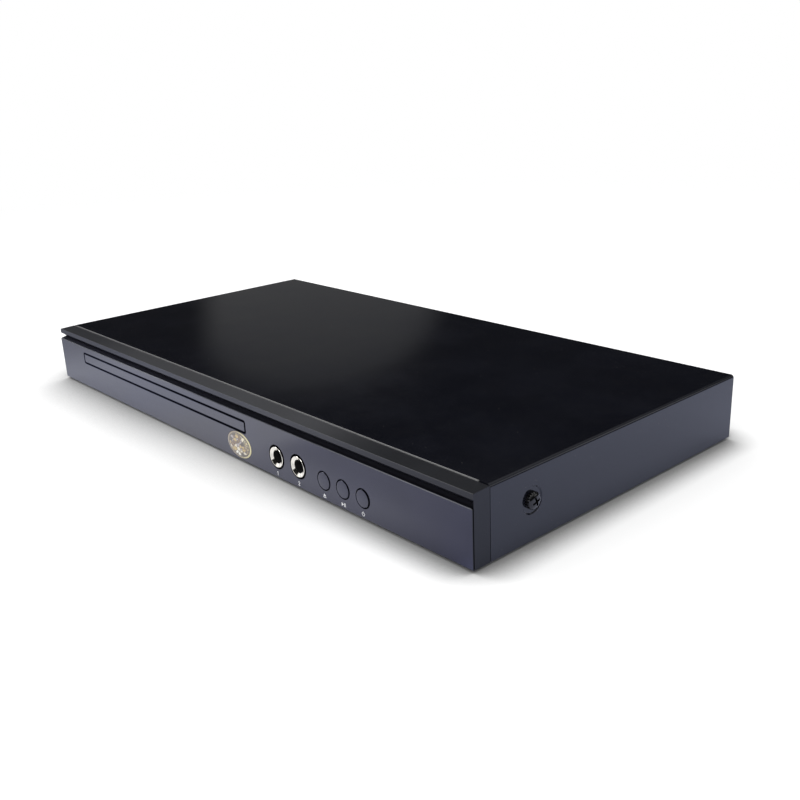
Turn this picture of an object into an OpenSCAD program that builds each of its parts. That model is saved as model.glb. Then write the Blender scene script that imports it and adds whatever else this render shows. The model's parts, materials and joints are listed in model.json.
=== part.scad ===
// Slim disc player with a sliding tray, two microphone sockets and three keys.
// X runs along the width, the front faces -Y and +Z is up. Each module works in the case's own corner
// frame: x from the left side, y from the face of the fascia, z from the underside of the case.
// place() moves that corner so that the origin is on the ground under the middle of the whole part.

/* [Case] */
// Width of the case over its sides
body_w = 360; // [352:1:430]
// Depth of the case from the face of the fascia to the back
body_d = 182; // [180:1:240]
// Height of the case without its feet
body_h = 32; // [32:0.5:45]
// Sheet steel of the top cover
cover_t = 0.8; // [0.6:0.1:1.1]
// Outer radius of the cover's two long folds
fold_r = 1.6; // [1.3:0.1:3]
// Sheet steel of the bottom pan and the back panel
pan_t = 0.8; // [0.6:0.1:1.1]
// Play between the cover and what stands inside it
cover_gap = 0.3; // [0.2:0.05:0.5]
// Height of the rubber feet
foot_h = 1.2; // [0.8:0.1:6]
// Radius of the rubber feet
foot_r = 8; // [6:0.5:10]
// Distance of each foot's centre from the case's sides
foot_in = 24; // [16:1:40]

/* [Front bezel] */
// Depth of the bezel from its face to the cover
bezel_d = 9.5; // [8.5:0.1:9.6]
// Wall of the bezel moulding
wall = 2.2; // [1.8:0.1:2.4]
// Floor of the bezel moulding
bezel_floor = 1.2; // [1:0.1:2]
// Depth of the shadow groove behind the fascia's face
groove_in = 3.6; // [2.4:0.1:4]
// Drop of the groove's root below the top of the case
groove_drop = 5.65; // [5.2:0.05:6]
// Drop of the fascia's upper edge below the top of the case
fascia_drop = 6.6; // [6.3:0.05:7]
// Drop of the lip's front edge below the top of the case
lip_drop = 0.7; // [0.4:0.05:1.2]
// Setback of the lip's front edge from the fascia's face
lip_set = 0.6; // [0.3:0.05:1.2]
// Height of the lip's front bevel
lip_face_h = 2.3; // [1.6:0.05:2.6]
// Drop of the lip's rear edge below the top of the case, where the cover's cut edge shows
lip_back = 0.4; // [0.2:0.05:0.6]
// Thickness of the cheek that closes the groove at its right end
cheek_t = 0.5; // [0.4:0.1:2]
// Width of the fine upright line that parts the fascia from the right cheek
cheek_line = 0.5; // [0.3:0.05:0.8]
// Open seam between the bezel and the cover
seam = 0.25; // [0.2:0.05:0.5]

/* [Tray door] */
// Left edge of the door's opening from the left side of the case
door_x = 31.6; // [28:0.1:34]
// Width of the door's opening
door_w = 178.4; // [176:0.1:181]
// Lower edge of the door's opening above the underside of the case
door_z = 15.05; // [14.9:0.05:15.2]
// Height of the door's opening
door_h = 6.8; // [6.6:0.05:7.2]
// Open seam round the door
door_gap = 0.85; // [0.3:0.05:0.9]
// Corner radius of the door's opening
door_r = 1.3; // [0.8:0.1:2]

/* [Disc tray] */
// Diameter of the discs that the tray carries
disc_d = 120; // [119:0.5:121]
// Play of a disc in its well, on the radius
disc_play = 0.8; // [0.5:0.1:1.1]
// Width of the tray
tray_w = 150; // [148:0.5:150.5]
// Thickness of the tray's rim
tray_h = 5.3; // [5:0.1:5.4]
// Thickness of the floor of the well
well_floor = 1.4; // [1.3:0.1:1.8]
// How far the tray slides out
tray_travel = 134; // [100:1:135]
// Distance of the disc's centre behind the fascia's face
disc_y = 70; // [68:0.5:71]
// Play between the tray and its guides
tray_play = 0.3; // [0.2:0.05:0.4]
// Module of the rack and the pinion that drives it
rack_m = 1; // [0.9:0.05:1]

/* [Keys] */
// Distance of the first key's centre from the second socket's centre
key_in = 18.8; // [18:0.1:24]
// Pitch of the three keys
key_pitch = 13.2; // [12.4:0.1:14]
// Height of the key centres above the underside of the case
key_z = 9.2; // [8.6:0.1:10]
// Radius of a key's cap
key_r = 4.05; // [3.5:0.05:4.7]
// Open seam round each key
key_gap = 0.5; // [0.25:0.05:0.6]
// Travel of a key
key_travel = 0.8; // [0.4:0.1:0.9]

/* [Microphone sockets] */
// Distance of the first socket's centre from the right edge of the door's opening
mic_in = 24.9; // [23:0.1:26]
// Pitch of the two sockets
mic_pitch = 16.6; // [15.5:0.1:17.2]
// Height of the socket centres above the underside of the case
mic_z = 10.4; // [9.8:0.1:11.5]
// Radius of the bore that takes a 6.35 mm plug
mic_bore_r = 3.25; // [3.2:0.01:3.4]
// Radius of the bright trim ring
mic_ring_r = 5; // [4.8:0.05:5.6]
// Open gap in the fascia round each trim ring
ring_gap = 1; // [0.4:0.05:1.1]
// How far the trim ring stands in front of the fascia
ring_proud = 0.3; // [0.25:0.05:1]
// Depth at which the ring's cone meets the bore, behind the fascia's face
ring_cone = 0.4; // [0.2:0.05:0.6]

/* [Badge] */
// Distance of the badge's centre inside the right edge of the door's opening
badge_in = 6.9; // [4:0.1:10]
// Height of the badge's centre above the underside of the case
badge_z = 7.9; // [7.6:0.1:8]
// Width of the oval badge
badge_w = 20.6; // [18:0.2:21]
// Height of the oval badge
badge_h = 13.4; // [11:0.2:13.6]

/* [Case screws] */
// Distance of the side screws behind the fascia's face
screw_y = 33.5; // [31:0.5:40]
// Height of the side screws above the underside of the case
screw_z = 17.5; // [14:0.5:19]
// Radius of a side screw's head
screw_head_r = 3.7; // [3:0.1:4.2]
// How far a side screw's head stands out of its dimple
screw_proud = 2.4; // [1.6:0.1:3]
// Radius of the pressed dimple round a side screw
dimple_r = 6; // [5:0.1:7]

/* [Back sockets] */
// Radius of a pin socket's metal sleeve
sleeve_r = 4.15; // [4.1:0.01:4.2]
// How far the pin sockets stand out of the back
socket_proud = 8.5; // [7:0.1:10]
// Pitch of the pin sockets across the back
socket_pitch = 14; // [13:0.5:16]

/* [Hidden] */
$fn = 48;

// A hair by which a cut runs past the face that it opens
eps = 0.1;
// Face-to-face play of pieces that are only laid against each other
rest_gap = 0.3;
// Radial clearance of a running fit
run_fit = 0.05;
// Small break on the bezel's edges
edge = 0.3;

// The case: where its front stands in the part's frame, and its inner limits
front_y = -(body_d + socket_proud - ring_proud) / 2;
inner_top = body_h - cover_t;
inside_x = cover_t + cover_gap;
back_y = body_d - cover_t - pan_t;
fascia_h = body_h - fascia_drop;
lip_z = body_h - lip_drop - lip_face_h;
cover_y = bezel_d + seam;
badge_x = door_x + door_w - badge_in;
mic_x = door_x + door_w + mic_in;
key_x = mic_x + mic_pitch + key_in;
cheek_in = cheek_line + 0.35;
ring_seat = ring_cone + 0.5;

// The loader: its middle, the walls of its frame and where it starts and ends
loader_x = door_x + door_w / 2;
frame_wall = 2;
frame_y0 = 12;
frame_y1 = 176;
shelf_t = 1.6;
shelf_y1 = 40;
shelf_z = pan_t + shelf_t;

// The tray: its levels, its well and its rack
tray_z = door_z + (door_h - tray_h) / 2;
tray_top = tray_z + tray_h;
frame_h = tray_top + 0.9;
well_r = disc_d / 2 + disc_play;
well_z = tray_z + well_floor;
small_well_r = 40.4;
small_well_drop = 0.4;
tray_y0 = wall;
tray_y1 = 174.5;
tray_side = 1.8;
tray_skin = 1.6;
slot_half = 17;
rail_z = tray_z + 2.7;

// The gears under the tray: a pinion on the rack, a wheel below it, and a pinion on the belt's pulley
pinion_n = 14;
pinion_r = rack_m * pinion_n / 2;
rack_last = ceil(tray_travel / (PI * rack_m)) + 1;
tooth_add = 0.8;
tooth_ded = 1.05;
tooth_play = 0.16;
rack_x = loader_x + tray_w / 2 - 10.8;
gear_x = rack_x + pinion_r;
gear_y = 26;
gear_m = 0.8;
wheel_n = 28;
wheel_r = gear_m * wheel_n / 2;
small_n = 14;
small_r = gear_m * small_n / 2;
wheel_z = 10;
wheel_t = 2;
wheel_room = 1.6;
frame_half = gear_x + wheel_r + wheel_room + frame_wall - loader_x;
pulley_x = gear_x - wheel_r - small_r;
pulley_r = 10;
pulley_z = 13.1;
pulley_t = 2.1;
motor_x = pulley_x - 29;
motor_r = 11.5;
motor_pulley_r = 3;
post_r = 1.5;
belt_t = 0.9;
groove_in_pulley = 0.8;

// The traverse deck that carries the spindle and the pickup, and the slider that lifts its front
deck_half = 43;
deck_y0 = 40;
deck_y1 = 158;
deck_z = 11.8;
deck_t = 1.2;
pivot_y = 160;
pivot_z = 9.5;
pivot_r = 1.5;
rod_r = 1.5;
rod_x = 27;
rod_z = 9.5;
sled_y0 = disc_y + 14.2;
sled_y1 = disc_y + 43;
sled_travel = 34;
lens_y = disc_y + 23;
lead_x = loader_x + deck_half - 7;
lead_z = 7.4;
lead_r = 1.5;
spindle_r = 1;
table_r = 15;
table_z = well_z + 1;
pad_t = 0.4;
spindle_base_r = 12.8;
hub_r = 7.4;
hub_h = 1.8;
lift_x = loader_x - 16;
lift_z = 10.2;
lift_pin_r = 1.25;
lift_play = 0.25;
lift_shift = 8;
lift_drop = 4.91;
lift_y = 31;
lift_t = 2.5;

// The bridge over the disc and the puck that hangs in it
bridge_z = frame_h;
bridge_t = 1.2;
bridge_w = 36;
bridge_post_r = 3.2;
bridge_half = frame_half + 6;
disc_t = 1.2;
puck_hole_r = 13;
puck_r = 12.4;
puck_flange_r = 16;

// The boards beside the loader
board_t = 1.6;
standoff_h = 4.2;
board_z = pan_t + standoff_h;
board_top = board_z + board_t;
power_w = 46;
power_x = body_w - 8 - power_w;
main_x = loader_x + frame_half + 9.2;
main_w = power_x - 12 - main_x;
main_y0 = 58;
main_y1 = back_y - 1;
power_y0 = 42;
board_screw_r = 1.25;
chip_x = main_x + main_w * 0.49;
chip_y = 100;
chip_w = main_w * 0.3;
chip_h = 1.6;
small_chip_w = main_w * 0.18;
sink_w = chip_w - 2;
sink_h = 7.6;
socket_x = main_x + 12;
socket_z = [11.6, 23.6];
back_lip = 2;
back_tab = 7;
back_screw_z = inner_top - 3.4;
inlet_x = power_x + power_w / 2;
inlet_z = 15;

// The keys: cap, stem, and the switch behind each
key_flange_t = 1;
stem_r = 1.5;
stem_end = 5.4;
switch_y = 6.6;
switch_d = 2.6;
switch_w = 6;
plunger_r = 1.6;
key_board_y = switch_y + switch_d;
key_lead_y = key_board_y + board_t + 2;

// Flat cables: width, thickness and where each one runs
ribbon_w = 10;
ribbon_t = 0.3;
ribbon_y = 152;
mic_ribbon_x = mic_x + 2;
key_board_x0 = key_x - 8.3;
mic_board_x1 = key_board_x0 - 1;

module place() {
  translate([-body_w / 2, front_y, foot_h]) children();
}

// A profile drawn as [y, z], run along X from x0 for a length
module along_x(x0, length) {
  translate([x0, 0, 0]) rotate([90, 0, 90]) linear_extrude(length) children();
}

// A round bar along Y
module bar_y(x, y0, z, r, length) {
  translate([x, y0, z]) rotate([-90, 0, 0]) cylinder(r = r, h = length);
}

// A round bar along X
module bar_x(x0, y, z, r, length) {
  translate([x0, y, z]) rotate([0, 90, 0]) cylinder(r = r, h = length);
}

// A plain block between two corners
module block(low, high) {
  translate(low) cube(high - low);
}

// A rectangle with round corners, from its lower left corner
module round_rect(w, h, r) {
  translate([r, 0]) square([w - 2 * r, h]);
  translate([0, r]) square([w, h - 2 * r]);
  for (x = [r, w - r]) for (y = [r, h - r]) translate([x, y]) circle(r);
}

// A cross recess for a driver, cut down from z = 0
module cross_recess(size, depth) {
  arm = size / 4;
  for (turn = [0, 90]) rotate(turn) translate([-size / 2, -arm / 2, -depth]) cube([size, arm, depth + eps]);
}

// A screw standing on z = 0 with its shank below, seen from its head
module pan_screw(head_r, head_h, shank_r, shank_l) {
  difference() {
    union() {
      cylinder(r = head_r, h = head_h * 0.6);
      translate([0, 0, head_h * 0.6]) cylinder(r1 = head_r, r2 = head_r * 0.72, h = head_h * 0.4);
      translate([0, 0, -shank_l]) cylinder(r = shank_r, h = shank_l);
    }
    translate([0, 0, head_h]) cross_recess(head_r * 1.1, head_h * 0.55);
  }
}

// Involute gear outline: modul, teeth, play between teeth, addendum and dedendum in modules
function involute(r, base) = sqrt(pow(r / base, 2) - 1) * 180 / PI - acos(base / r);
function tooth_half(r, base, pitch, half) = half + involute(pitch, base) - involute(max(r, base), base);
function on_circle(r, angle) = [r * cos(angle), r * sin(angle)];
module gear_outline(modul, teeth, play, turn) {
  pitch = modul * teeth / 2;
  base = pitch * cos(20);
  tip = pitch + tooth_add * modul;
  root = pitch - tooth_ded * modul;
  half = (PI * modul / 2 - play) / (2 * pitch) * 180 / PI;
  steps = 3;
  radii = [for (i = [0:steps]) base + 0.001 + (tip - base - 0.001) * i / steps];
  polygon([
    for (i = [0:teeth - 1])
      let (mid = turn + i * 360 / teeth)
        each concat(
          [on_circle(root, mid - tooth_half(base, base, pitch, half))],
          [for (r = radii) on_circle(r, mid - tooth_half(r, base, pitch, half))],
          [for (k = [steps:-1:0]) on_circle(radii[k], mid + tooth_half(radii[k], base, pitch, half))],
          [on_circle(root, mid + tooth_half(base, base, pitch, half))]
        )
  ]);
}

// Straight rack outline with its pitch line on x = 0 and teeth towards +X, centred teeth on y = 0
module rack_outline(modul, first, last, back) {
  step = PI * modul;
  half = (step / 2 - tooth_play) / 2;
  lean = tan(20);
  tip = tooth_add * modul;
  root = -tooth_ded * modul;
  polygon(concat(
    [[-back, first * step - step / 2]],
    [
      for (i = [first:last])
        each [
          [root, i * step - step / 2],
          [root, i * step - half - lean * -root],
          [tip, i * step - half + lean * tip],
          [tip, i * step + half - lean * tip],
          [root, i * step + half + lean * -root]
        ]
    ],
    [[root, last * step + step / 2], [-back, last * step + step / 2]]
  ));
}

// ---- Case ----

// End view of the cover's outside, or of its inside at t in from the outside
module cover_section(t) {
  translate([t, -t]) square([body_w - 2 * t, body_h - fold_r + t]);
  translate([fold_r, -t]) square([body_w - 2 * fold_r, body_h]);
  for (x = [fold_r, body_w - fold_r]) translate([x, body_h - fold_r]) circle(fold_r - t);
}

// Folded steel cover: top, two sides with a pressed dimple each, and a lip down the back
module top_cover() {
  length = body_d - cover_y;
  dimple = 0.5;
  color([0.05, 0.05, 0.055]) difference() {
    union() {
      translate([0, body_d, 0]) rotate([90, 0, 0]) linear_extrude(length) difference() {
        cover_section(0);
        cover_section(cover_t);
      }
      block([cover_t, body_d - cover_t, inner_top - back_lip], [body_w - cover_t, body_d, inner_top + eps]);
      for (x = back_screw_x())
        block([x - 8, body_d - cover_t, inner_top - back_tab], [x + 8, body_d, inner_top + eps]);
      for (x = [cover_t - eps, body_w - inside_x])
        bar_x(x, screw_y, screw_z, dimple_r + cover_t, cover_gap + eps);
    }
    for (side = [0, 1])
      translate([side * body_w, screw_y, screw_z]) mirror([side, 0, 0]) rotate([0, 90, 0]) {
      translate([0, 0, -eps]) cylinder(r1 = dimple_r + eps, r2 = dimple_r - dimple, h = dimple + eps);
      cylinder(r = 1.7, h = 3);
    }
    for (x = back_screw_x()) bar_y(x, body_d - cover_t - eps, back_screw_z, 1.7, cover_t + 2 * eps);
  }
}

function back_screw_x() = [12, body_w / 2, body_w - 12];
function foot_centres() = [
  for (x = [foot_in, body_w - foot_in]) for (y = [foot_in, body_d - foot_in]) [x, y]
];
function main_screws() = [
  for (x = [main_x + 4, main_x + main_w - 4]) for (y = [main_y0 + 4, main_y1 - 36]) [x, y]
];
function power_screws() = [
  for (x = [power_x + 4, power_x + power_w - 4]) for (y = [power_y0 + 4, main_y1 - 26]) [x, y]
];

// Steel pan: floor with vent slots, upturned sides and raised bosses for the boards
module bottom_pan() {
  x0 = inside_x;
  x1 = body_w - inside_x;
  flange_h = 9;
  vent = (main_w - 24) / 13;
  color([0.62, 0.63, 0.64]) difference() {
    union() {
      block([x0, cover_y, 0], [x1, back_y, pan_t]);
      block([x0, cover_y, 0], [x0 + pan_t, back_y, flange_h]);
      block([x1 - pan_t, cover_y, 0], [x1, back_y, flange_h]);
      for (p = concat(main_screws(), power_screws()))
        translate([p.x, p.y, pan_t]) cylinder(r = 3, h = standoff_h);
      for (x = [x0, x1 - pan_t])
        block([x, screw_y - 6, flange_h - eps], [x + pan_t, screw_y + 6, screw_z + 6]);
    }
    for (p = concat(main_screws(), power_screws()))
      translate([p.x, p.y, -eps]) cylinder(r = board_screw_r, h = pan_t + standoff_h + 2 * eps);
    for (x = [x0 - 1, x1 - pan_t - 1]) bar_x(x, screw_y, screw_z, 1.5, pan_t + 2);
    for (i = [0:13])
      translate([main_x + 12 + i * vent, main_y0 + 20, -eps]) cube([vent * 0.43, 34, pan_t + 2 * eps]);
    for (i = [0:6])
      translate([power_x + 11 + i * 4, power_y0 + 40, -eps]) cube([1.8, 34, pan_t + 2 * eps]);
    for (p = loader_ears())
      translate([p.x, p.y, -eps]) cylinder(r = board_screw_r, h = pan_t + 2 * eps);
  }
}

// Cross-section of the bezel as [y, z]: fascia, what stands between fascia and lip, and the lip
module bezel_section(groove) {
  polygon(concat(
    [[0, edge], [edge, 0], [bezel_d, 0], [bezel_d, body_h - lip_back], [lip_set, body_h - lip_drop]],
    [[lip_set - 0.2, lip_z]],
    groove,
    [[0, fascia_h - edge]]
  ));
}

// Moulded front: fascia with the door's opening, holes for keys and sockets, and a seat for the badge
module front_bezel() {
  main_top = fascia_h - wall;
  upper_y = groove_in + wall;
  rim = 1.2;
  rim_d = 3;
  color([0.27, 0.28, 0.33]) difference() {
    union() {
      along_x(0, body_w - cheek_t) bezel_section([[groove_in, body_h - groove_drop], [edge, fascia_h]]);
      along_x(body_w - cheek_t, cheek_t)
        bezel_section([[cheek_in, lip_z - cheek_in + lip_set - 0.2], [cheek_in, fascia_h]]);
      block([inside_x, bezel_d - 1, inner_top - cover_gap - rim],
        [body_w - inside_x, bezel_d + rim_d, inner_top - cover_gap]);
      for (x = [inside_x + pan_t + cover_gap, body_w - inside_x - pan_t - cover_gap - rim])
        block([x, bezel_d - 1, bezel_floor], [x + rim, bezel_d + rim_d, inner_top - cover_gap]);
    }
    block([wall, wall, bezel_floor], [body_w - wall, bezel_d + eps, main_top]);
    block([wall, upper_y, main_top - eps], [body_w - wall, bezel_d + eps, inner_top - cover_gap - rim]);
    block([body_w - cheek_t, cheek_in - cheek_line, -eps], [body_w + eps, cheek_in, fascia_h]);
    translate([door_x, wall + eps, door_z])
      rotate([90, 0, 0]) linear_extrude(wall + 1) round_rect(door_w, door_h, door_r);
    for (i = [0:2]) bar_y(key_x + i * key_pitch, -1, key_z, key_r + key_gap, wall + 2);
    for (i = [0:1]) bar_y(mic_x + i * mic_pitch, -1, mic_z, mic_ring_r + ring_gap, wall + 2);
    translate([badge_x, 0.3, badge_z]) rotate([90, 0, 0])
      linear_extrude(1) oval(badge_w + 0.3, badge_h + 0.3);
  }
}

// An ellipse about the origin
module oval(w, h) {
  sides = 72;
  polygon([for (i = [0:sides - 1]) [w / 2 * cos(i * 360 / sides), h / 2 * sin(i * 360 / sides)]]);
}

// Steel back panel with holes for the sockets and the inlet
module back_panel() {
  color([0.62, 0.63, 0.64]) difference() {
    block([inside_x, back_y, 0], [body_w - inside_x, back_y + pan_t, inner_top - cover_gap]);
    for (x = socket_columns()) for (z = socket_z) bar_y(x, back_y - eps, z, sleeve_r + 1, pan_t + 2 * eps);
    translate([inlet_x - 10.2, back_y + pan_t + eps, inlet_z - 6.7])
      rotate([90, 0, 0]) linear_extrude(pan_t + 2 * eps) round_rect(20.4, 13.4, 1.5);
    for (x = back_screw_x()) bar_y(x, back_y - eps, back_screw_z, 1.3, pan_t + 2 * eps);
    for (i = [0:11])
      translate([24 + i * 5, back_y - eps, 9]) cube([2.2, pan_t + 2 * eps, 12]);
  }
}

module rubber_feet() {
  color([0.04, 0.04, 0.04]) for (p = foot_centres()) translate([p.x, p.y, -foot_h]) {
    cylinder(r1 = foot_r - 0.4, r2 = foot_r, h = foot_h / 2);
    translate([0, 0, foot_h / 2]) cylinder(r = foot_r, h = foot_h / 2);
  }
}

module side_screws() {
  shank = 5;
  color([0.03, 0.03, 0.03]) {
    translate([body_w - 0.5, screw_y, screw_z]) rotate([0, 90, 0])
      pan_screw(screw_head_r, screw_proud + 0.5, 1.4, shank);
    translate([0.5, screw_y, screw_z]) rotate([0, -90, 0])
      pan_screw(screw_head_r, screw_proud + 0.5, 1.4, shank);
  }
}

module back_screws() {
  color([0.03, 0.03, 0.03]) for (x = back_screw_x())
    translate([x, body_d, back_screw_z]) rotate([-90, 0, 0]) pan_screw(2.6, 1.6, 1.25, 5);
}

module front_badge() {
  color([0.75, 0.6, 0.3]) translate([badge_x, 0.3, badge_z]) rotate([90, 0, 0]) linear_extrude(0.6)
    oval(badge_w, badge_h);
}

// ---- Front sockets, keys and their boards ----

module mic_rings() {
  color([0.85, 0.85, 0.87]) for (i = [0:1])
    translate([mic_x + i * mic_pitch, 0, mic_z]) rotate([-90, 0, 0]) rotate_extrude() polygon([
      [mic_bore_r, ring_cone], [mic_ring_r - 0.35, -ring_proud], [mic_ring_r - 0.1, -ring_proud],
      [mic_ring_r, 0.1 - ring_proud], [mic_ring_r, wall + 0.2],
      [4.5, wall + 0.2], [4.5, ring_seat], [mic_bore_r, ring_seat]
    ]);
}

// Moulded bodies behind the fascia, each with a nose that the trim ring is screwed on
module mic_sockets() {
  depth = 28;
  half = 6.4;
  nose = 4.5;
  color([0.05, 0.05, 0.05]) for (i = [0:1]) difference() {
    x = mic_x + i * mic_pitch;
    union() {
      block([x - half, wall + 0.2, mic_z - half], [x + half, wall + 0.2 + depth, mic_z + half]);
      bar_y(x, ring_seat, mic_z, nose, wall + 0.5 - ring_seat);
    }
    bar_y(x, 0, mic_z, mic_bore_r, depth);
    block([x - 1, 20, mic_z], [x + 1, 26, mic_z + half + eps]);
  }
}

module mic_board() {
  z1 = mic_z - 6.4;
  color([0.1, 0.3, 0.15]) {
    block([mic_x - 9, 4, z1 - board_t], [mic_board_x1, 33, z1]);
    block([mic_x + mic_pitch + 6.7, key_lead_y - 2, z1], [mic_board_x1, key_lead_y + 8, z1 + 2.4]);
    for (x = [mic_x - 6, mic_x + mic_pitch + 5]) for (y = [14, 30])
      translate([x, y, pan_t]) cylinder(r = 2, h = z1 - board_t - pan_t);
  }
}

module key_board() {
  foot = 12;
  x0 = key_board_x0;
  x1 = key_x + 2 * key_pitch + 15;
  back = key_board_y + board_t;
  color([0.1, 0.3, 0.15]) {
    block([x0, key_board_y, bezel_floor + rest_gap], [x1, back, 19]);
    for (x = [x0 + 13, x1 - 6]) block([x, back, pan_t], [x + 4, back + foot, pan_t + 3]);
    block([x0 + 0.5, back, mic_z - 6.4], [x0 + 4.5, key_lead_y + 8, mic_z - 4]);
  }
}

module key_switches() {
  half = switch_w / 2;
  color([0.1, 0.1, 0.1]) for (i = [0:2]) difference() {
    x = key_x + i * key_pitch;
    block([x - half, switch_y, key_z - half], [x + half, key_board_y, key_z + half]);
    bar_y(x, switch_y - eps, key_z, plunger_r + 0.15, switch_d - 0.6 + eps);
  }
}

// One key: a nearly flat cap, a flange behind the fascia and a stem
module key_cap(i) {
  x = key_x + i * key_pitch;
  flange_y = wall + 0.2;
  color([0.27, 0.28, 0.33]) translate([x, 0, key_z]) rotate([-90, 0, 0]) rotate_extrude() polygon([
    [0, -0.25], [key_r * 0.5, -0.23], [key_r * 0.85, -0.18], [key_r - 0.15, -0.14], [key_r, 0.02],
    [key_r, flange_y], [key_r + 1, flange_y], [key_r + 1, flange_y + key_flange_t],
    [stem_r, flange_y + key_flange_t], [stem_r, stem_end], [0, stem_end]
  ]);
}

// The switch's own plunger, which the stem pushes
module plunger(i) {
  color([0.75, 0.2, 0.15])
    bar_y(key_x + i * key_pitch, stem_end, key_z, plunger_r, switch_y - stem_end + 0.9);
}

module remote_receiver() {
  x = key_x + 2 * key_pitch + 11;
  color([0.12, 0.1, 0.12]) {
    block([x - 2.5, key_board_y - 3, key_z - 3], [x + 2.5, key_board_y, key_z + 3]);
    bar_y(x, key_board_y - 4.6, key_z, 2, 1.6);
  }
}

// ---- Electronics ----

module drilled_board(low, high, holes) {
  difference() {
    block(low, high);
    for (p = holes) translate([p.x, p.y, low.z - eps]) cylinder(r = 1.6, h = board_t + 2 * eps);
  }
}

module main_board() {
  color([0.1, 0.3, 0.15]) {
    drilled_board([main_x, main_y0, board_z], [main_x + main_w, main_y1, board_top], main_screws());
    block([main_x + main_w - 7, 92, board_top], [main_x + main_w - 1, 108, board_top + 4]);
    block([main_x + 3, ribbon_y - 1, board_top], [main_x + 8, ribbon_y + ribbon_w + 1, board_top + 2.2]);
    block([mic_ribbon_x - 1, main_y0 + 1, board_top],
      [mic_ribbon_x + ribbon_w + 1, main_y0 + 6, board_top + 2.2]);
  }
}

module board_chips() {
  color([0.05, 0.05, 0.055]) {
    block([chip_x - chip_w / 2, chip_y - chip_w / 2, board_top],
      [chip_x + chip_w / 2, chip_y + chip_w / 2, board_top + chip_h]);
    for (y = [chip_y - 26, chip_y + 28]) for (x = [chip_x - small_chip_w - 1.5, chip_x + 1.5])
      block([x, y - 5, board_top], [x + small_chip_w, y + 5, board_top + 1.2]);
  }
}

module chip_heat_sink() {
  fin = 0.9;
  pitch = (sink_w - fin) / 6;
  half = sink_w / 2;
  z0 = board_top + chip_h;
  color([0.7, 0.71, 0.72]) translate([chip_x - half, chip_y - half, z0]) {
    cube([sink_w, sink_w, 1.6]);
    for (i = [0:6]) translate([i * pitch, 0, 0]) cube([fin, sink_w, sink_h]);
  }
}

module can(x, y, r, h) {
  translate([x, y, board_top]) {
    cylinder(r = r, h = h - 0.6);
    translate([0, 0, h - 0.6]) cylinder(r1 = r, r2 = r - 0.6, h = 0.6);
  }
}

module board_capacitors() {
  color([0.1, 0.1, 0.3]) {
    for (i = [0:3]) can(main_x + main_w * 0.85, main_y0 + 10.6 + i * 6, 2.6, 9);
    for (i = [0:3]) can(main_x + main_w * 0.18, chip_y - 24 + i * 11, 3.2, 11);
  }
}

module power_board() {
  color([0.45, 0.33, 0.16]) {
    drilled_board([power_x, power_y0, board_z], [power_x + power_w, main_y1, board_top], power_screws());
    block([power_x + 1, 92, board_top], [power_x + 7, 108, board_top + 4]);
  }
}

module mains_transformer() {
  x = power_x + 23;
  y = 104;
  color([0.75, 0.6, 0.25]) {
    block([x - 11, y - 12, board_top], [x + 11, y + 12, board_top + 2]);
    translate([x, y, board_top + 2]) cylinder(r = 8, h = 12);
    block([x - 11, y - 12, board_top + 2], [x + 11, y - 9, board_top + 17]);
    block([x - 11, y + 9, board_top + 2], [x + 11, y + 12, board_top + 17]);
    block([x - 11, y - 9, board_top + 14], [x + 11, y + 9, board_top + 17]);
  }
}

module power_capacitors() {
  color([0.12, 0.12, 0.14]) {
    can(power_x + 14, 130, 8, 20);
    for (i = [0:2]) can(power_x + 10 + i * 12, 60, 4.2, 14);
    for (i = [0:1]) can(power_x + 12 + i * 14, 74, 4.2, 14);
  }
}

module power_heat_sink() {
  x = power_x + 36;
  color([0.7, 0.71, 0.72]) {
    block([x, 76, board_top], [x + 1.6, 126, board_top + 18]);
    for (i = [0:5]) block([x + 1.6, 78 + i * 9, board_top + 1], [x + 6, 79.4 + i * 9, board_top + 18]);
    block([x - 4.4, 80, board_top], [x, 90, board_top + 15]);
  }
}

module mains_fuse() {
  y = 142;
  x0 = power_x + 25;
  color([0.8, 0.8, 0.78]) {
    bar_x(x0, y, board_top + 3.4, 2.4, 16);
    for (x = [x0, x0 + 12]) {
      bar_x(x, y, board_top + 3.4, 2.7, 4);
      block([x + 1, y - 1.5, board_top], [x + 3, y + 1.5, board_top + 2]);
    }
  }
}

// Two-pin inlet: a rounded well with the pins inside, closed behind
module mains_inlet() {
  y0 = back_y - 17;
  y1 = body_d + 0.6;
  color([0.04, 0.04, 0.04]) {
    difference() {
      union() {
        translate([inlet_x - 10, y1, inlet_z - 6.5]) rotate([90, 0, 0])
          linear_extrude(y1 - y0) round_rect(20, 13, 1.5);
        translate([inlet_x - 12, body_d + 0.6, inlet_z - 7.8]) rotate([90, 0, 0])
          linear_extrude(body_d + 0.6 - back_y - pan_t) round_rect(24, 15.6, 2);
        block([inlet_x - 9, y0, board_top], [inlet_x + 9, back_y - 1.2, inlet_z]);
      }
      translate([0, y1 - 13, 0]) {
        for (x = [-3.4, 3.4]) bar_y(inlet_x + x, 0, inlet_z, 4.3, 14);
        block([inlet_x - 3.4, 0, inlet_z - 3.6], [inlet_x + 3.4, 14, inlet_z + 3.6]);
      }
    }
    for (x = [-4.3, 4.3]) bar_y(inlet_x + x, y1 - 13.5, inlet_z, 1.2, 10.5);
  }
}

function socket_columns() = [for (i = [0:2]) socket_x + i * socket_pitch];

module pin_socket_block() {
  y0 = back_y - 13;
  x0 = socket_x - 6.4;
  x1 = socket_x + 2 * socket_pitch + 6.4;
  color([0.05, 0.05, 0.05]) {
    block([x0, y0, board_top], [x1, back_y, socket_z[1] + 5]);
  }
}

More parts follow.
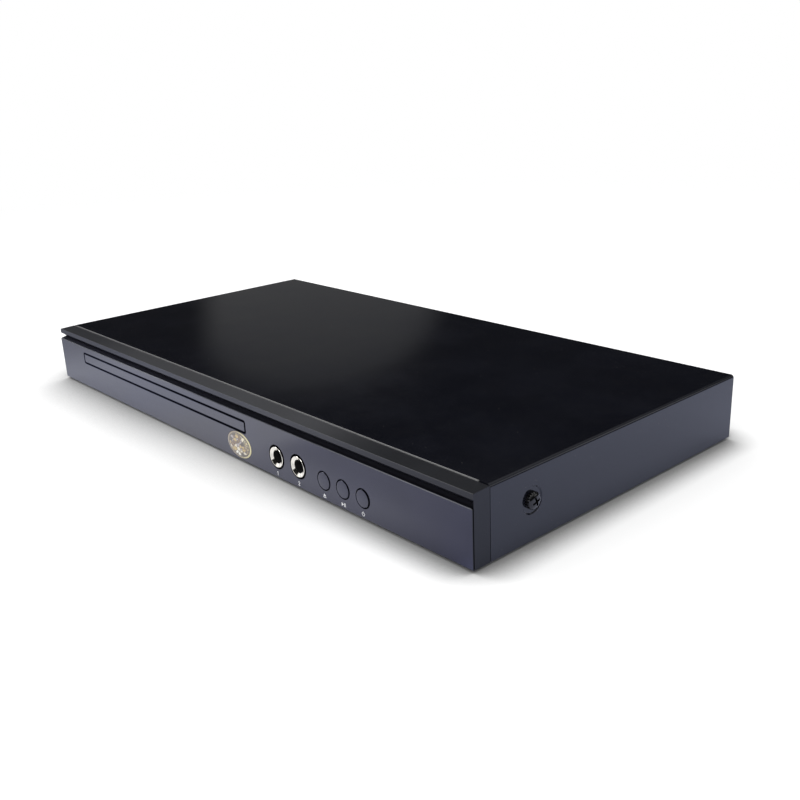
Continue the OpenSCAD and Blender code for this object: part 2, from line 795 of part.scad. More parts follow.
module pin_socket_sleeves() {
  color([0.8, 0.78, 0.6]) for (x = socket_columns()) for (z = socket_z)
    translate([x, back_y + 2.4, z]) rotate([-90, 0, 0]) difference() {
      cylinder(r = sleeve_r, h = body_d + socket_proud - back_y - 2.4);
      translate([0, 0, 1]) cylinder(r = 1.6, h = 20);
    }
}

module pin_socket_collars() {
  color([0.85, 0.75, 0.1]) for (x = socket_columns()) for (z = socket_z)
    bar_y(x, back_y, z, sleeve_r + 0.8, 2.4);
}

module board_screws() {
  color([0.7, 0.7, 0.7]) for (p = concat(main_screws(), power_screws()))
    translate([p.x, p.y, board_top]) pan_screw(2.6, 1.6, board_screw_r, board_t + standoff_h - 0.4);
}

// A flat cable as a path of [y, z] or [x, z], drawn with its thickness upwards
module ribbon(path) {
  polygon(concat(path, [for (i = [len(path) - 1:-1:0]) path[i] + [0, ribbon_t]]));
}

// Flat cables to the main board, from the loader and from the microphone board, and the short leads
// from the microphone board to the key board
module flat_cables() {
  wall_x = loader_x + frame_half;
  plug_x = loader_x + deck_half + 7;
  mic_top = mic_z - 6.4;
  mic_y1 = 33;
  color([0.85, 0.85, 0.82]) {
    translate([0, ribbon_y + ribbon_w, 0]) rotate([90, 0, 0]) linear_extrude(ribbon_w) ribbon([
      [plug_x + 2, shelf_z], [wall_x + 0.6, shelf_z],
      [main_x - 1.2, board_top], [main_x + 3, board_top]
    ]);
    block([plug_x, ribbon_y - 0.5, shelf_z], [plug_x + 4, ribbon_y + ribbon_w + 0.5, shelf_z + 2]);
    along_x(mic_ribbon_x, ribbon_w) ribbon([
      [mic_y1 - 2, mic_top], [mic_y1 + 1, mic_top],
      [main_y0 - 2, board_top], [main_y0 + 1, board_top]
    ]);
    for (i = [0:3])
      bar_x(mic_board_x1, key_lead_y + i * 2, mic_top + 1.2, 0.5, key_board_x0 + 0.5 - mic_board_x1);
  }
}

module power_leads() {
  x0 = main_x + main_w - 1;
  x1 = power_x + 1;
  color([0.7, 0.15, 0.12]) for (i = [0:4]) bar_x(x0, 94 + i * 3, board_top + 2, 0.7, x1 - x0);
}

// ---- Loader ----

function bridge_posts() = [loader_x - frame_half - 2.6, loader_x + frame_half + 2.6];
function loader_ears() = [
  for (x = [loader_x - frame_half - 4, loader_x + frame_half + 4]) for (y = [30, 140]) [x, y]
];

// Moulded frame: walls, tray guides, gear posts, deck pivots and the ledges that the bridge sits on
module loader_frame() {
  left = loader_x - frame_half;
  right = loader_x + frame_half;
  guide_l = loader_x - tray_w / 2 - tray_play;
  guide_r = loader_x + tray_w / 2 + tray_play;
  ledge_z = tray_z - tray_play;
  rail_top = rail_z - tray_play;
  tab_z = tray_top + tray_play;
  behind = gear_y + 8.5;
  ahead = gear_y - 8.8;
  boss_x = deck_half + 1.3;
  boss_t = 3;
  color([0.12, 0.12, 0.13]) difference() {
    union() {
      block([left, frame_y0, pan_t], [left + frame_wall, frame_y1, frame_h]);
      block([right - frame_wall, frame_y0, pan_t], [right, frame_y1, frame_h]);
      block([left, frame_y0, pan_t], [right, shelf_y1, shelf_z]);
      block([left, 150, pan_t], [right, frame_y1, shelf_z]);
      block([left, frame_y1 - 1.6, pan_t], [right, frame_y1, 13]);
      block([left, frame_y0, pan_t], [right, frame_y0 + 1.4, 9.4]);
      // left guide: ledge, rib and hold-down tabs
      block([left, frame_y0, ledge_z - 1.2], [guide_l + 5, frame_y1, ledge_z]);
      block([guide_l - 2, frame_y0, ledge_z - 1.2], [guide_l, frame_y1, frame_h]);
      // right guide behind the gears
      block([rack_x + 3.2, behind, rail_top - 1.6], [right, frame_y1, rail_top]);
      block([guide_r, behind, rail_top - 1.6], [guide_r + 2, frame_y1, frame_h]);
      // right guide in front of the gears
      block([rack_x + 3.2, frame_y0, rail_top - 1.6], [right, ahead, rail_top]);
      block([guide_r, frame_y0, rail_top - 1.6], [guide_r + 2, ahead, frame_h]);
      for (y = [frame_y0 + 1, 110, 154]) block([guide_l - 2, y, tab_z], [guide_l + 4, y + 4, tab_z + 1]);
      for (y = [frame_y0, 110, 154]) block([guide_r - 4, y, tab_z], [guide_r + 2, y + 4, tab_z + 1]);
      // posts for the gears, and a rim round the motor
      translate([gear_x, gear_y, pan_t]) cylinder(r = post_r, h = rail_z - 0.6 - pan_t);
      translate([pulley_x, gear_y, pan_t]) cylinder(r = post_r, h = tray_z - 0.6 - pan_t);
      translate([gear_x, gear_y, pan_t]) cylinder(r = 3, h = wheel_z - 0.2 - pan_t);
      translate([pulley_x, gear_y, pan_t]) cylinder(r = 3, h = wheel_z - 0.2 - pan_t);
      // ribs that guide the lift slider
      for (y = [lift_y - 0.3 - 1, lift_y + lift_t + 0.3]) for (x = [lift_x - 27, lift_x + 5])
        block([x, y, shelf_z - eps], [x + 14, y + 1, shelf_z + 2.2]);
      // bosses for the deck's pivots
      for (x = [loader_x - boss_x - boss_t, loader_x + boss_x])
        block([x, pivot_y - 5.5, pan_t], [x + boss_t, pivot_y + 5.5, pivot_z + 5]);
      for (p = loader_ears()) block([p.x - 4, p.y - 4, pan_t], [p.x + 4, p.y + 4, shelf_z]);
      for (x = bridge_posts())
        translate([x, disc_y, pan_t]) cylinder(r = bridge_post_r, h = frame_h - pan_t);
    }
    for (x = [loader_x - boss_x - boss_t - eps, loader_x + boss_x - eps])
      bar_x(x, pivot_y, pivot_z, 3.5, boss_t + 2 * eps);
    for (p = loader_ears()) translate([p.x, p.y, 0]) cylinder(r = 1.6, h = shelf_z + 1);
    block([right - frame_wall - eps, ribbon_y - 1, shelf_z],
      [right + eps, ribbon_y + ribbon_w + 1, shelf_z + 1.2]);
    for (x = bridge_posts()) translate([x, disc_y, frame_h - 8]) cylinder(r = board_screw_r, h = 8 + eps);
  }
}

module clamp_bridge() {
  y0 = disc_y - bridge_w / 2;
  y1 = disc_y + bridge_w / 2;
  left = loader_x - bridge_half;
  right = loader_x + bridge_half;
  z1 = bridge_z + bridge_t;
  color([0.62, 0.63, 0.64]) difference() {
    union() {
      block([left, y0, bridge_z], [right, y1, z1]);
      for (y = [y0, y1 - 1]) block([left + 10, y, z1 - eps], [right - 10, y + 1, z1 + 2.4]);
    }
    translate([loader_x, disc_y, bridge_z - eps]) cylinder(r = puck_hole_r, h = bridge_t + 2 * eps);
    for (x = bridge_posts())
      translate([x, disc_y, bridge_z - eps]) cylinder(r = 1.6, h = bridge_t + 2 * eps);
  }
}

module loader_motor() {
  color([0.72, 0.73, 0.74]) {
    translate([motor_x, gear_y, shelf_z]) cylinder(r = motor_r, h = 10);
    translate([motor_x, gear_y, shelf_z + 10]) cylinder(r = 3.2, h = 0.5);
  }
}

// The endless belt, drawn at rest round the two pulleys
module belt_loop(extra) {
  gap = pulley_x - motor_x;
  big = pulley_r - groove_in_pulley + run_fit + extra;
  small = motor_pulley_r - groove_in_pulley + run_fit + extra;
  lean = acos((small - big) / gap);
  circle(small);
  translate([gap, 0]) circle(big);
  polygon([
    [small * cos(lean), small * sin(lean)], [gap + big * cos(lean), big * sin(lean)],
    [gap + big * cos(lean), -big * sin(lean)], [small * cos(lean), -small * sin(lean)]
  ]);
}

module drive_belt() {
  color([0.03, 0.03, 0.03]) translate([motor_x, gear_y, pulley_z + (pulley_t - belt_t) / 2])
    linear_extrude(belt_t) difference() {
      belt_loop(0.7);
      belt_loop(0);
    }
}

module loader_screws() {
  color([0.7, 0.7, 0.7]) {
    for (p = loader_ears())
      translate([p.x, p.y, shelf_z]) pan_screw(2.6, 1.6, board_screw_r, shelf_t + pan_t - 0.2);
    for (x = bridge_posts())
      translate([x, disc_y, bridge_z + bridge_t]) pan_screw(2.6, 1.6, board_screw_r, 8);
  }
}

module deck_bushes() {
  boss_x = deck_half + 1.3;
  color([0.1, 0.1, 0.1]) for (x = [loader_x - boss_x - 3, loader_x + boss_x]) difference() {
    bar_x(x, pivot_y, pivot_z, 3.5, 3);
    bar_x(x - eps, pivot_y, pivot_z, pivot_r + run_fit, 3 + 2 * eps);
  }
}

// ---- Tray ----

// Tray with wells for large and small discs, a slot for the spindle that runs out at the back,
// pockets underneath, and a rack in a channel along its right side
module disc_tray() {
  x0 = loader_x - tray_w / 2;
  x1 = loader_x + tray_w / 2;
  channel = rack_x - tooth_ded * rack_m;
  pocket_x1 = channel - 2.4;
  color([0.1, 0.1, 0.11]) {
    difference() {
      block([x0, tray_y0, tray_z], [x1, tray_y1, tray_top]);
      translate([loader_x, disc_y, well_z]) cylinder(r = well_r, h = tray_h);
      translate([loader_x, disc_y, well_z - small_well_drop]) cylinder(r = small_well_r, h = tray_h);
      translate([loader_x, disc_y, tray_z - eps]) cylinder(r = slot_half, h = tray_h);
      block([loader_x - slot_half, disc_y, tray_z - eps],
        [loader_x + slot_half, tray_y1 + eps, tray_top + eps]);
      // channel for the rail and the pinion
      block([channel, 7, tray_z - eps], [x1 + eps, tray_y1 + eps, rail_z]);
      // pockets under the rim, outside the well
      translate([0, 0, tray_z - eps]) linear_extrude(tray_h - tray_skin + eps) difference() {
        union() {
          translate([x0 + tray_side, tray_y0 + tray_side])
            square([pocket_x1 - x0 - tray_side, disc_y - tray_y0 - tray_side]);
          translate([x0 + tray_side, disc_y])
            square([loader_x - slot_half - tray_side - x0 - tray_side, tray_y1 - disc_y - tray_side]);
          translate([loader_x + slot_half + tray_side, disc_y])
            square([pocket_x1 - loader_x - slot_half - tray_side, tray_y1 - disc_y - tray_side]);
        }
        translate([loader_x, disc_y]) circle(well_r + tray_side);
      }
    }
    translate([rack_x, gear_y, tray_z]) linear_extrude(rail_z - tray_z)
      rack_outline(rack_m, -3, rack_last, 1.5);
  }
}

module tray_door() {
  t = wall;
  color([0.27, 0.28, 0.33]) translate([door_x + door_gap, t, door_z + door_gap]) rotate([90, 0, 0])
    linear_extrude(t) round_rect(door_w - 2 * door_gap, door_h - 2 * door_gap, door_r - door_gap * 0.6);
}

// ---- Gears and belt pulleys ----

module drive_gear() {
  top = rail_z - 0.4;
  color([0.85, 0.85, 0.82]) difference() {
    union() {
      translate([gear_x, gear_y, tray_z]) linear_extrude(top - tray_z)
        gear_outline(rack_m, pinion_n, tooth_play, 180 + 180 / pinion_n);
      translate([gear_x, gear_y, wheel_z]) linear_extrude(wheel_t)
        gear_outline(gear_m, wheel_n, tooth_play, 180);
      translate([gear_x, gear_y, wheel_z]) cylinder(r = 3.4, h = top - wheel_z);
    }
    translate([gear_x, gear_y, wheel_z - eps]) cylinder(r = post_r + run_fit, h = 20);
  }
}

module pulley_profile(r, bore) {
  groove_r = r - groove_in_pulley;
  rotate_extrude() polygon([
    [bore, 0], [r, 0], [r, 0.3], [groove_r, 0.55], [groove_r, pulley_t - 0.55], [r, pulley_t - 0.3],
    [r, pulley_t], [bore, pulley_t]
  ]);
}

module belt_pulley() {
  bore = post_r + run_fit;
  color([0.85, 0.85, 0.82]) {
    translate([pulley_x, gear_y, pulley_z]) pulley_profile(pulley_r, bore);
    translate([pulley_x, gear_y, wheel_z]) linear_extrude(wheel_t + 0.3) difference() {
      gear_outline(gear_m, small_n, tooth_play, 180 / small_n);
      circle(bore);
    }
    translate([pulley_x, gear_y, wheel_z + wheel_t + 0.3]) difference() {
      cylinder(r = 3.6, h = pulley_z - wheel_z - wheel_t - 0.3);
      translate([0, 0, -eps]) cylinder(r = bore, h = 5);
    }
  }
}

module motor_pulley() {
  color([0.8, 0.8, 0.78]) {
    translate([motor_x, gear_y, pulley_z]) pulley_profile(motor_pulley_r, 0.8);
    translate([motor_x, gear_y, shelf_z + 10.6])
      cylinder(r = 0.8, h = pulley_z + pulley_t - shelf_z - 10.4);
  }
}

// Plate with a slanted slot: as it slides to the left, the deck's pin runs down the slot
module lift_slider() {
  rake = atan(lift_drop / lift_shift);
  slot_r = lift_pin_r + lift_play;
  run = sqrt(pow(lift_drop, 2) + pow(lift_shift, 2));
  bottom = shelf_z + rest_gap;
  color([0.8, 0.8, 0.78]) translate([0, lift_y + lift_t, 0]) rotate([90, 0, 0])
    linear_extrude(lift_t) difference() {
      translate([lift_x - 20, bottom]) square([40, lift_z + 3 - bottom]);
      translate([lift_x, lift_z]) rotate(-rake) {
        circle(slot_r);
        translate([run, 0]) circle(slot_r);
        translate([0, -slot_r]) square([run, 2 * slot_r]);
      }
    }
}

// ---- Traverse ----

// Pressed deck: window for the sled, brackets for the rods and the lead screw, pivots and lift pin
module traverse_deck() {
  post = 3;
  front_post_y = disc_y - 12;
  back_post_y = 150;
  color([0.66, 0.67, 0.68]) difference() {
    union() {
      block([loader_x - deck_half, deck_y0, deck_z], [loader_x + deck_half, deck_y1, deck_z + deck_t]);
      for (x = [loader_x - deck_half, loader_x + deck_half - 1.2])
        block([x, 146, pivot_z - 3], [x + 1.2, pivot_y + 3, deck_z + deck_t]);
      bar_x(loader_x - deck_half - 4.2, pivot_y, pivot_z, pivot_r, 5);
      bar_x(loader_x + deck_half - 0.8, pivot_y, pivot_z, pivot_r, 5);
      for (x = [loader_x - rod_x, loader_x + rod_x]) for (y = [front_post_y, back_post_y])
        block([x - post, y, rod_z - 2.6], [x + post, y + 4, deck_z + eps]);
      block([lead_x - 3, disc_y + 8, lead_z - 2.8], [lead_x + 3, disc_y + 10, deck_z + eps]);
      block([lead_x - 4, 144.6, lead_z - 4], [lead_x + 4, 146, deck_z + eps]);
      block([lift_x - 4, deck_y0, lift_z - 2.5], [lift_x + 4, deck_y0 + 1.4, deck_z + eps]);
      bar_y(lift_x, lift_y - 2, lift_z, lift_pin_r, deck_y0 - lift_y + 2.2);
    }
    block([loader_x - 30, disc_y + 13.4, deck_z - eps], [loader_x + 30, 149, deck_z + deck_t + eps]);
    translate([loader_x, disc_y, deck_z - eps]) cylinder(r = 4, h = deck_t + 2 * eps);
    for (x = [loader_x - rod_x, loader_x + rod_x])
      bar_y(x, front_post_y + 0.5, rod_z, rod_r, back_post_y + 3 - front_post_y);
    bar_y(lead_x, disc_y + 7, lead_z, 1 + run_fit, 5);
    bar_y(lead_x, 144, lead_z, lead_r + 0.4, 2.5);
  }
}

module guide_rods() {
  y0 = disc_y - 12 + 0.5;
  y1 = 153.5;
  color([0.85, 0.85, 0.86]) for (side = [-1, 1]) bar_y(loader_x + side * rod_x, y0, rod_z, rod_r, y1 - y0);
}

// Fixed part of the spindle motor: a base under the deck and a bearing through it
module spindle_motor() {
  color([0.5, 0.5, 0.52]) translate([loader_x, disc_y, 0]) difference() {
    union() {
      translate([0, 0, deck_z - 1.4]) cylinder(r = spindle_base_r, h = 1.4);
      translate([0, 0, deck_z - 2.8]) cylinder(r = 4, h = deck_t + 2.8);
    }
    translate([0, 0, deck_z - 2]) cylinder(r = spindle_r + run_fit, h = 10);
  }
}

// Rotor, table and centring hub on one shaft
module turntable() {
  rotor_z = deck_z + deck_t + rest_gap;
  taper_z = table_z + hub_h * 0.6;
  color([0.15, 0.15, 0.16]) translate([loader_x, disc_y, 0]) {
    cylinder_to(12.6, rotor_z, table_z - 2);
    cylinder_to(table_r, table_z - 2, table_z - pad_t);
    cylinder_to(hub_r, table_z - pad_t, taper_z);
    translate([0, 0, taper_z]) cylinder(r1 = hub_r, r2 = hub_r - 1.4, h = table_z + hub_h - taper_z);
    cylinder_to(spindle_r, deck_z - 1.8, rotor_z);
  }
}

// An upright cylinder between two levels
module cylinder_to(r, z0, z1) {
  translate([0, 0, z0]) cylinder(r = r, h = z1 - z0);
}

// Rubber ring that the disc sits on
module turntable_pad() {
  color([0.05, 0.05, 0.05]) translate([loader_x, disc_y, table_z - pad_t]) difference() {
    cylinder(r = table_r - 0.5, h = pad_t);
    translate([0, 0, -eps]) cylinder(r = hub_r + 2, h = 1);
  }
}

module sled_motor() {
  color([0.72, 0.73, 0.74]) difference() {
    bar_y(lead_x, 146, lead_z, 4, 9);
    bar_y(lead_x, 145, lead_z, 1 + run_fit, 5);
  }
}

// Lead screw with its journals; the thread is drawn as rings at its pitch
module lead_screw() {
  y0 = disc_y + 8.2;
  y1 = disc_y + 10.2;
  pitch = 3;
  turns = floor((144 - y1) / pitch);
  root_r = lead_r - 0.4;
  crest = 1.8;
  color([0.8, 0.8, 0.82]) {
    bar_y(lead_x, y0, lead_z, 1, 2.2);
    translate([lead_x, y1, lead_z]) rotate([-90, 0, 0]) rotate_extrude() polygon(concat(
      [[0, 0]],
      [
        for (i = [0:turns - 1])
          let (z = i * pitch)
            each [[lead_r, z], [lead_r, z + crest], [root_r, z + crest + 0.3], [root_r, z + pitch - 0.3]]
      ],
      [[lead_r, turns * pitch], [lead_r, 145.6 - y1], [0, 145.6 - y1]]
    ));
    bar_y(lead_x, 145.5, lead_z, 1, 4);
  }
}

// Pickup sled: casting, a long bearing on the left rod, a fork on the right one, the nut's arm
// and the two posts beside the lens
module pickup_sled() {
  x = loader_x;
  color([0.3, 0.3, 0.32]) difference() {
    union() {
      block([x - 21, sled_y0, 5.2], [x + 21, sled_y1, 14.2]);
      bar_y(x - rod_x, sled_y0, rod_z, 2.7, sled_y1 - sled_y0);
      block([x - rod_x, sled_y0, 7.4], [x - 20, sled_y1, 11.4]);
      block([x + 20, lens_y, 6.6], [x + 29, lens_y + 8, 12.4]);
      block([x + 20, lens_y + 10, 5.2], [lead_x - lead_r - 0.4, lens_y + 16, 7.4]);
      for (y = [lens_y - 8.6, lens_y + 6.6]) block([x - 6, y, 14.1], [x + 6, y + 2, 15.4]);
    }
    bar_y(x - rod_x, sled_y0 - eps, rod_z, rod_r + run_fit, sled_y1 - sled_y0 + 2 * eps);
    block([x + 24, lens_y - eps, rod_z - rod_r - 0.1], [x + 30, lens_y + 8 + eps, rod_z + rod_r + 0.1]);
  }
}

module lens_holder() {
  color([0.08, 0.08, 0.09]) {
    block([loader_x - 6, lens_y - 6, 14.8], [loader_x + 6, lens_y + 6, 16]);
    translate([loader_x, lens_y, 16]) cylinder(r1 = 3, r2 = 2.6, h = 0.5);
    translate([loader_x, lens_y, 16.5]) cylinder(r1 = 2, r2 = 1.2, h = 0.4);
  }
}

// ---- Clamp ----

// Puck that turns with the disc; its flange hangs on the bridge
module clamp_puck() {
  z0 = table_z + disc_t + 0.2;
  flange_z = bridge_z + bridge_t + 0.2;
  color([0.85, 0.85, 0.83]) translate([loader_x, disc_y, 0]) difference() {
    union() {
      cylinder_to(puck_r, z0, flange_z + 0.5);
      cylinder_to(puck_flange_r, flange_z, flange_z + 1);
      cylinder_to(8.6, flange_z, flange_z + 2.4);
    }
    cylinder_to(hub_r + 0.6, z0 - eps, z0 + 1.2);
    cylinder_to(7, flange_z + 1, flange_z + 3);
  }
}

module clamp_magnet() {
  z0 = bridge_z + bridge_t + 1.2;
  color([0.35, 0.35, 0.37]) translate([loader_x, disc_y, 0]) cylinder_to(7, z0, z0 + 1.6);
}

place() top_cover();
place() bottom_pan();
place() front_bezel();
place() back_panel();
place() rubber_feet();
place() side_screws();
place() back_screws();
place() front_badge();
place() mic_rings();
place() mic_sockets();
place() mic_board();
place() key_board();
place() key_switches();
place() remote_receiver();
place() main_board();
place() board_chips();
place() chip_heat_sink();
place() board_capacitors();
place() power_board();
place() mains_transformer();
place() power_capacitors();
place() power_heat_sink();
place() mains_fuse();
place() mains_inlet();
place() pin_socket_block();
place() pin_socket_sleeves();
place() pin_socket_collars();
place() board_screws();
place() flat_cables();
place() power_leads();
place() loader_frame();
place() clamp_bridge();
place() loader_motor();
place() drive_belt();
place() loader_screws();
place() deck_bushes();
place() disc_tray();
place() tray_door();
place() drive_gear();
place() belt_pulley();
place() motor_pulley();
place() lift_slider();
place() traverse_deck();
place() spindle_motor();
place() guide_rods();
place() sled_motor();
place() turntable();
place() turntable_pad();
place() pickup_sled();
place() lens_holder();
place() lead_screw();
place() clamp_puck();
place() clamp_magnet();
place() key_cap(0);  // eject_key
place() key_cap(1);  // play_key
place() key_cap(2);  // power_key
place() plunger(0);  // eject_plunger
place() plunger(1);  // play_plunger
place() plunger(2);  // power_plunger
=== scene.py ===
# %% [markdown]
# # Dressing a slim disc player
#
# The exact solids of the player come from a CAD model. This script gives them what a CAD model lacks:
# softened edges, paint, moulded plastic, plated metal, printed signs and a small photographic studio.
#
# Every cell does one job and prints what it made, so the script can be read and run from top to bottom.

# %% Load the CAD nodes
import json
import math

import bmesh
import bpy
from mathutils import Matrix, Vector


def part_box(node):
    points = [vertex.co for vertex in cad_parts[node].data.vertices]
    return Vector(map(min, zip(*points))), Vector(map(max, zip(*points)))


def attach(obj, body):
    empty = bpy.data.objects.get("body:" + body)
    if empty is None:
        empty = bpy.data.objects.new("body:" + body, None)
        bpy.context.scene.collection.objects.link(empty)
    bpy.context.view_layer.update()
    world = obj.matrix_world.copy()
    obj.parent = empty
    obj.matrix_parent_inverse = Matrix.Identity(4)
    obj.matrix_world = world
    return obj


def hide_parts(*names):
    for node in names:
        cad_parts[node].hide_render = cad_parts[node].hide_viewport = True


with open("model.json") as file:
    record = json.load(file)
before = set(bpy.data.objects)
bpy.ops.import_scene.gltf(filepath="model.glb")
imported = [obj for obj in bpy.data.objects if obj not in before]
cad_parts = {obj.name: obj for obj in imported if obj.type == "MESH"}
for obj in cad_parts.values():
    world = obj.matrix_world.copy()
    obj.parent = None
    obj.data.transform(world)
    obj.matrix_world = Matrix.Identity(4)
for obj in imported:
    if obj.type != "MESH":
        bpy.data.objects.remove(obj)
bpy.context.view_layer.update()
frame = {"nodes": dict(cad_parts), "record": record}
nodes = frame["nodes"]

# %% [markdown]
# ## A handy corner to measure from
#
# Drawings of a case are easiest to read from one corner: x from the left side, y from the face of the
# fascia and z from the underside of the case, all in millimetres. `at` turns such a place into Blender's
# metres. The corner itself is measured on the CAD nodes, so nothing is typed twice.

# %% Measure from the case's corner
MM = 0.001
cover_low, cover_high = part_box("top_cover")
door_low, door_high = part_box("tray_door")
corner = Vector((cover_low.x, door_low.y, cover_low.z))


def at(x, y, z):
    """A place in the case's own millimetres, as a vector in metres."""
    return corner + Vector((x, y, z)) * MM


def from_corner(place):
    """The other way: metres to the case's own millimetres."""
    return (Vector(place) - corner) / MM


print("case, mm:", [round(v, 2) for v in from_corner(cover_high)])

# %% [markdown]
# ## Small helpers for shader nodes
#
# A shader is a graph of small steps, and the same few steps come back in every material: a sum, a stretched
# range, a noise, a distance. Each helper adds one of them to a node tree and returns the socket with the
# result, so that a material below reads like a formula.

# %% Helpers that add one step to a node tree
def math_node(tree, operation, a, b=None, clamp=False):
    """One maths node. a and b are sockets or numbers."""
    node = tree.nodes.new("ShaderNodeMath")
    node.operation = operation
    node.use_clamp = clamp
    for socket, value in zip(node.inputs, (a, b)):
        if isinstance(value, (int, float)):
            socket.default_value = value
        elif value is not None:
            tree.links.new(value, socket)
    return node.outputs[0]


def remap(tree, value, low, high, to_low=0.0, to_high=1.0):
    """Stretches value from low..high to to_low..to_high, with soft ends."""
    node = tree.nodes.new("ShaderNodeMapRange")
    node.interpolation_type = "SMOOTHSTEP"
    tree.links.new(value, node.inputs["Value"])
    for label, number in zip(("From Min", "From Max", "To Min", "To Max"), (low, high, to_low, to_high)):
        node.inputs[label].default_value = number
    return node.outputs["Result"]


def vector_node(tree, operation, vector, numbers):
    """One vector maths node between a socket and three numbers."""
    node = tree.nodes.new("ShaderNodeVectorMath")
    node.operation = operation
    tree.links.new(vector, node.inputs[0])
    node.inputs[1].default_value = numbers
    return node.outputs["Value" if operation == "DOT_PRODUCT" else "Vector"]


def scaled(tree, vector, factors):
    """A vector multiplied by three numbers."""
    return vector_node(tree, "MULTIPLY", vector, factors)


def parts_of(tree, vector):
    """The X, Y and Z of a vector, as three sockets."""
    split = tree.nodes.new("ShaderNodeSeparateXYZ")
    tree.links.new(vector, split.inputs[0])
    return [split.outputs[axis] for axis in "XYZ"]


def length_of(tree, a, b):
    """How long the diagonal of a and b is."""
    squares = [math_node(tree, "MULTIPLY", side, side) for side in (a, b)]
    return math_node(tree, "SQRT", math_node(tree, "ADD", *squares))


def all_of(tree, first, *others):
    """Where every one of the masks is 1."""
    for other in others:
        first = math_node(tree, "MULTIPLY", first, other)
    return first


def noise(tree, vector, scale, detail=2.0, roughness=0.5):
    """A noise texture. scale is a socket or a number."""
    node = tree.nodes.new("ShaderNodeTexNoise")
    tree.links.new(vector, node.inputs["Vector"])
    if isinstance(scale, (int, float)):
        node.inputs["Scale"].default_value = scale
    else:
        tree.links.new(scale, node.inputs["Scale"])
    node.inputs["Detail"].default_value = detail
    node.inputs["Roughness"].default_value = roughness
    return node.outputs["Fac"]


def mix_colour(tree, factor, a, b):
    """Mixes two colours. Each is a socket or three numbers."""
    node = tree.nodes.new("ShaderNodeMix")
    node.data_type = "RGBA"
    tree.links.new(factor, node.inputs["Factor"])
    for label, value in (("A", a), ("B", b)):
        socket = next(s for s in node.inputs if s.name == label and s.type == "RGBA")
        if isinstance(value, (tuple, list)):
            socket.default_value = (*value[:3], 1.0)
        else:
            tree.links.new(value, socket)
    return next(s for s in node.outputs if s.type == "RGBA")


print("helpers:", [f.__name__ for f in (math_node, remap, scaled, parts_of, length_of, noise, mix_colour)])

# %% [markdown]
# ## Shared effects as node groups
#
# Real surfaces are never one flat value: moulded plastic has a fine grain, gloss paint has smudges and
# hairline scratches, and dust lies on what looks up. Pictures could be laid over the surface for that, but
# noise worked out from the position needs no unwrapping and stays sharp at any distance. Four small node
# groups hold what many materials share. Each one only returns numbers between 0 and 1. What these numbers
# do, such as darken a colour or roughen a gloss, is decided in each material.
#
# * **Surface detail**: fine grain for the bump, broad smudges, and a few tiny specks of dust
# * **Hairlines**: long thin scratches in two directions
# * **Drawn grain**: the streaks of rolled, drawn or ground metal
# * **Settled dust**: more on faces that look up

# %% Surface detail and hairlines
# Voronoi cells per mm, and the distances from a cell's middle between which its speck fades out
SPECKS_PER_MM, SPECK_FADE = 0.55, (0.03, 0.09)
# The turn of each set of scratches in radians, and how far its noise is stretched along X, Y and Z
SCRATCH_SETS = [(0.4, (0.03, 2.4, 0.6)), (-1.1, (0.05, 1.8, 0.5))]


def new_group(name, inputs, outputs):
    """An empty shader group with float or vector inputs and float outputs."""
    group = bpy.data.node_groups.new(name, "ShaderNodeTree")
    for label, kind, value in inputs:
        socket = group.interface.new_socket(label, in_out="INPUT", socket_type=kind)
        if value is not None:
            socket.default_value = value
    for label in outputs:
        group.interface.new_socket(label, in_out="OUTPUT", socket_type="NodeSocketFloat")
    return group, group.nodes.new("NodeGroupInput"), group.nodes.new("NodeGroupOutput")


def make_surface_detail():
    group, inside, out = new_group(
        "Surface detail",
        [
            ("Position", "NodeSocketVector", None),
            ("Grain per mm", "NodeSocketFloat", 2.0),
            ("Smudges per mm", "NodeSocketFloat", 0.03),
            ("Speck amount", "NodeSocketFloat", 0.05),
        ],
        ["Grain", "Smudge", "Speck"],
    )
    place = inside.outputs["Position"]
    grain = noise(group, place, inside.outputs["Grain per mm"], 3.0, 0.6)
    smudge = noise(group, place, inside.outputs["Smudges per mm"], 5.0, 0.55)
    cells = group.nodes.new("ShaderNodeTexVoronoi")
    cells.inputs["Scale"].default_value = SPECKS_PER_MM
    group.links.new(place, cells.inputs["Vector"])
    split = group.nodes.new("ShaderNodeSeparateColor")
    group.links.new(cells.outputs["Color"], split.inputs[0])
    chosen = math_node(group, "LESS_THAN", split.outputs[0], inside.outputs["Speck amount"])
    near = remap(group, cells.outputs["Distance"], *SPECK_FADE, 1.0, 0.0)
    speck = math_node(group, "MULTIPLY", chosen, near)
    group.links.new(grain, out.inputs["Grain"])
    group.links.new(remap(group, smudge, 0.38, 0.66), out.inputs["Smudge"])
    group.links.new(speck, out.inputs["Speck"])
    return group


def make_hairlines():
    group, inside, out = new_group("Hairlines", [("Position", "NodeSocketVector", None)], ["Scratch"])
    marks = []
    for turn, stretch in SCRATCH_SETS:
        spin = group.nodes.new("ShaderNodeVectorRotate")
        spin.rotation_type = "Z_AXIS"
        spin.inputs["Angle"].default_value = turn
        group.links.new(inside.outputs["Position"], spin.inputs["Vector"])
        lines = noise(group, scaled(group, spin.outputs[0], stretch), 1.0, 2.0)
        marks.append(remap(group, lines, 0.69, 0.76))
    group.links.new(math_node(group, "MAXIMUM", *marks), out.inputs["Scratch"])
    return group


SURFACE_DETAIL = make_surface_detail()
HAIRLINES = make_hairlines()
print("node groups:", [g.name for g in bpy.data.node_groups])


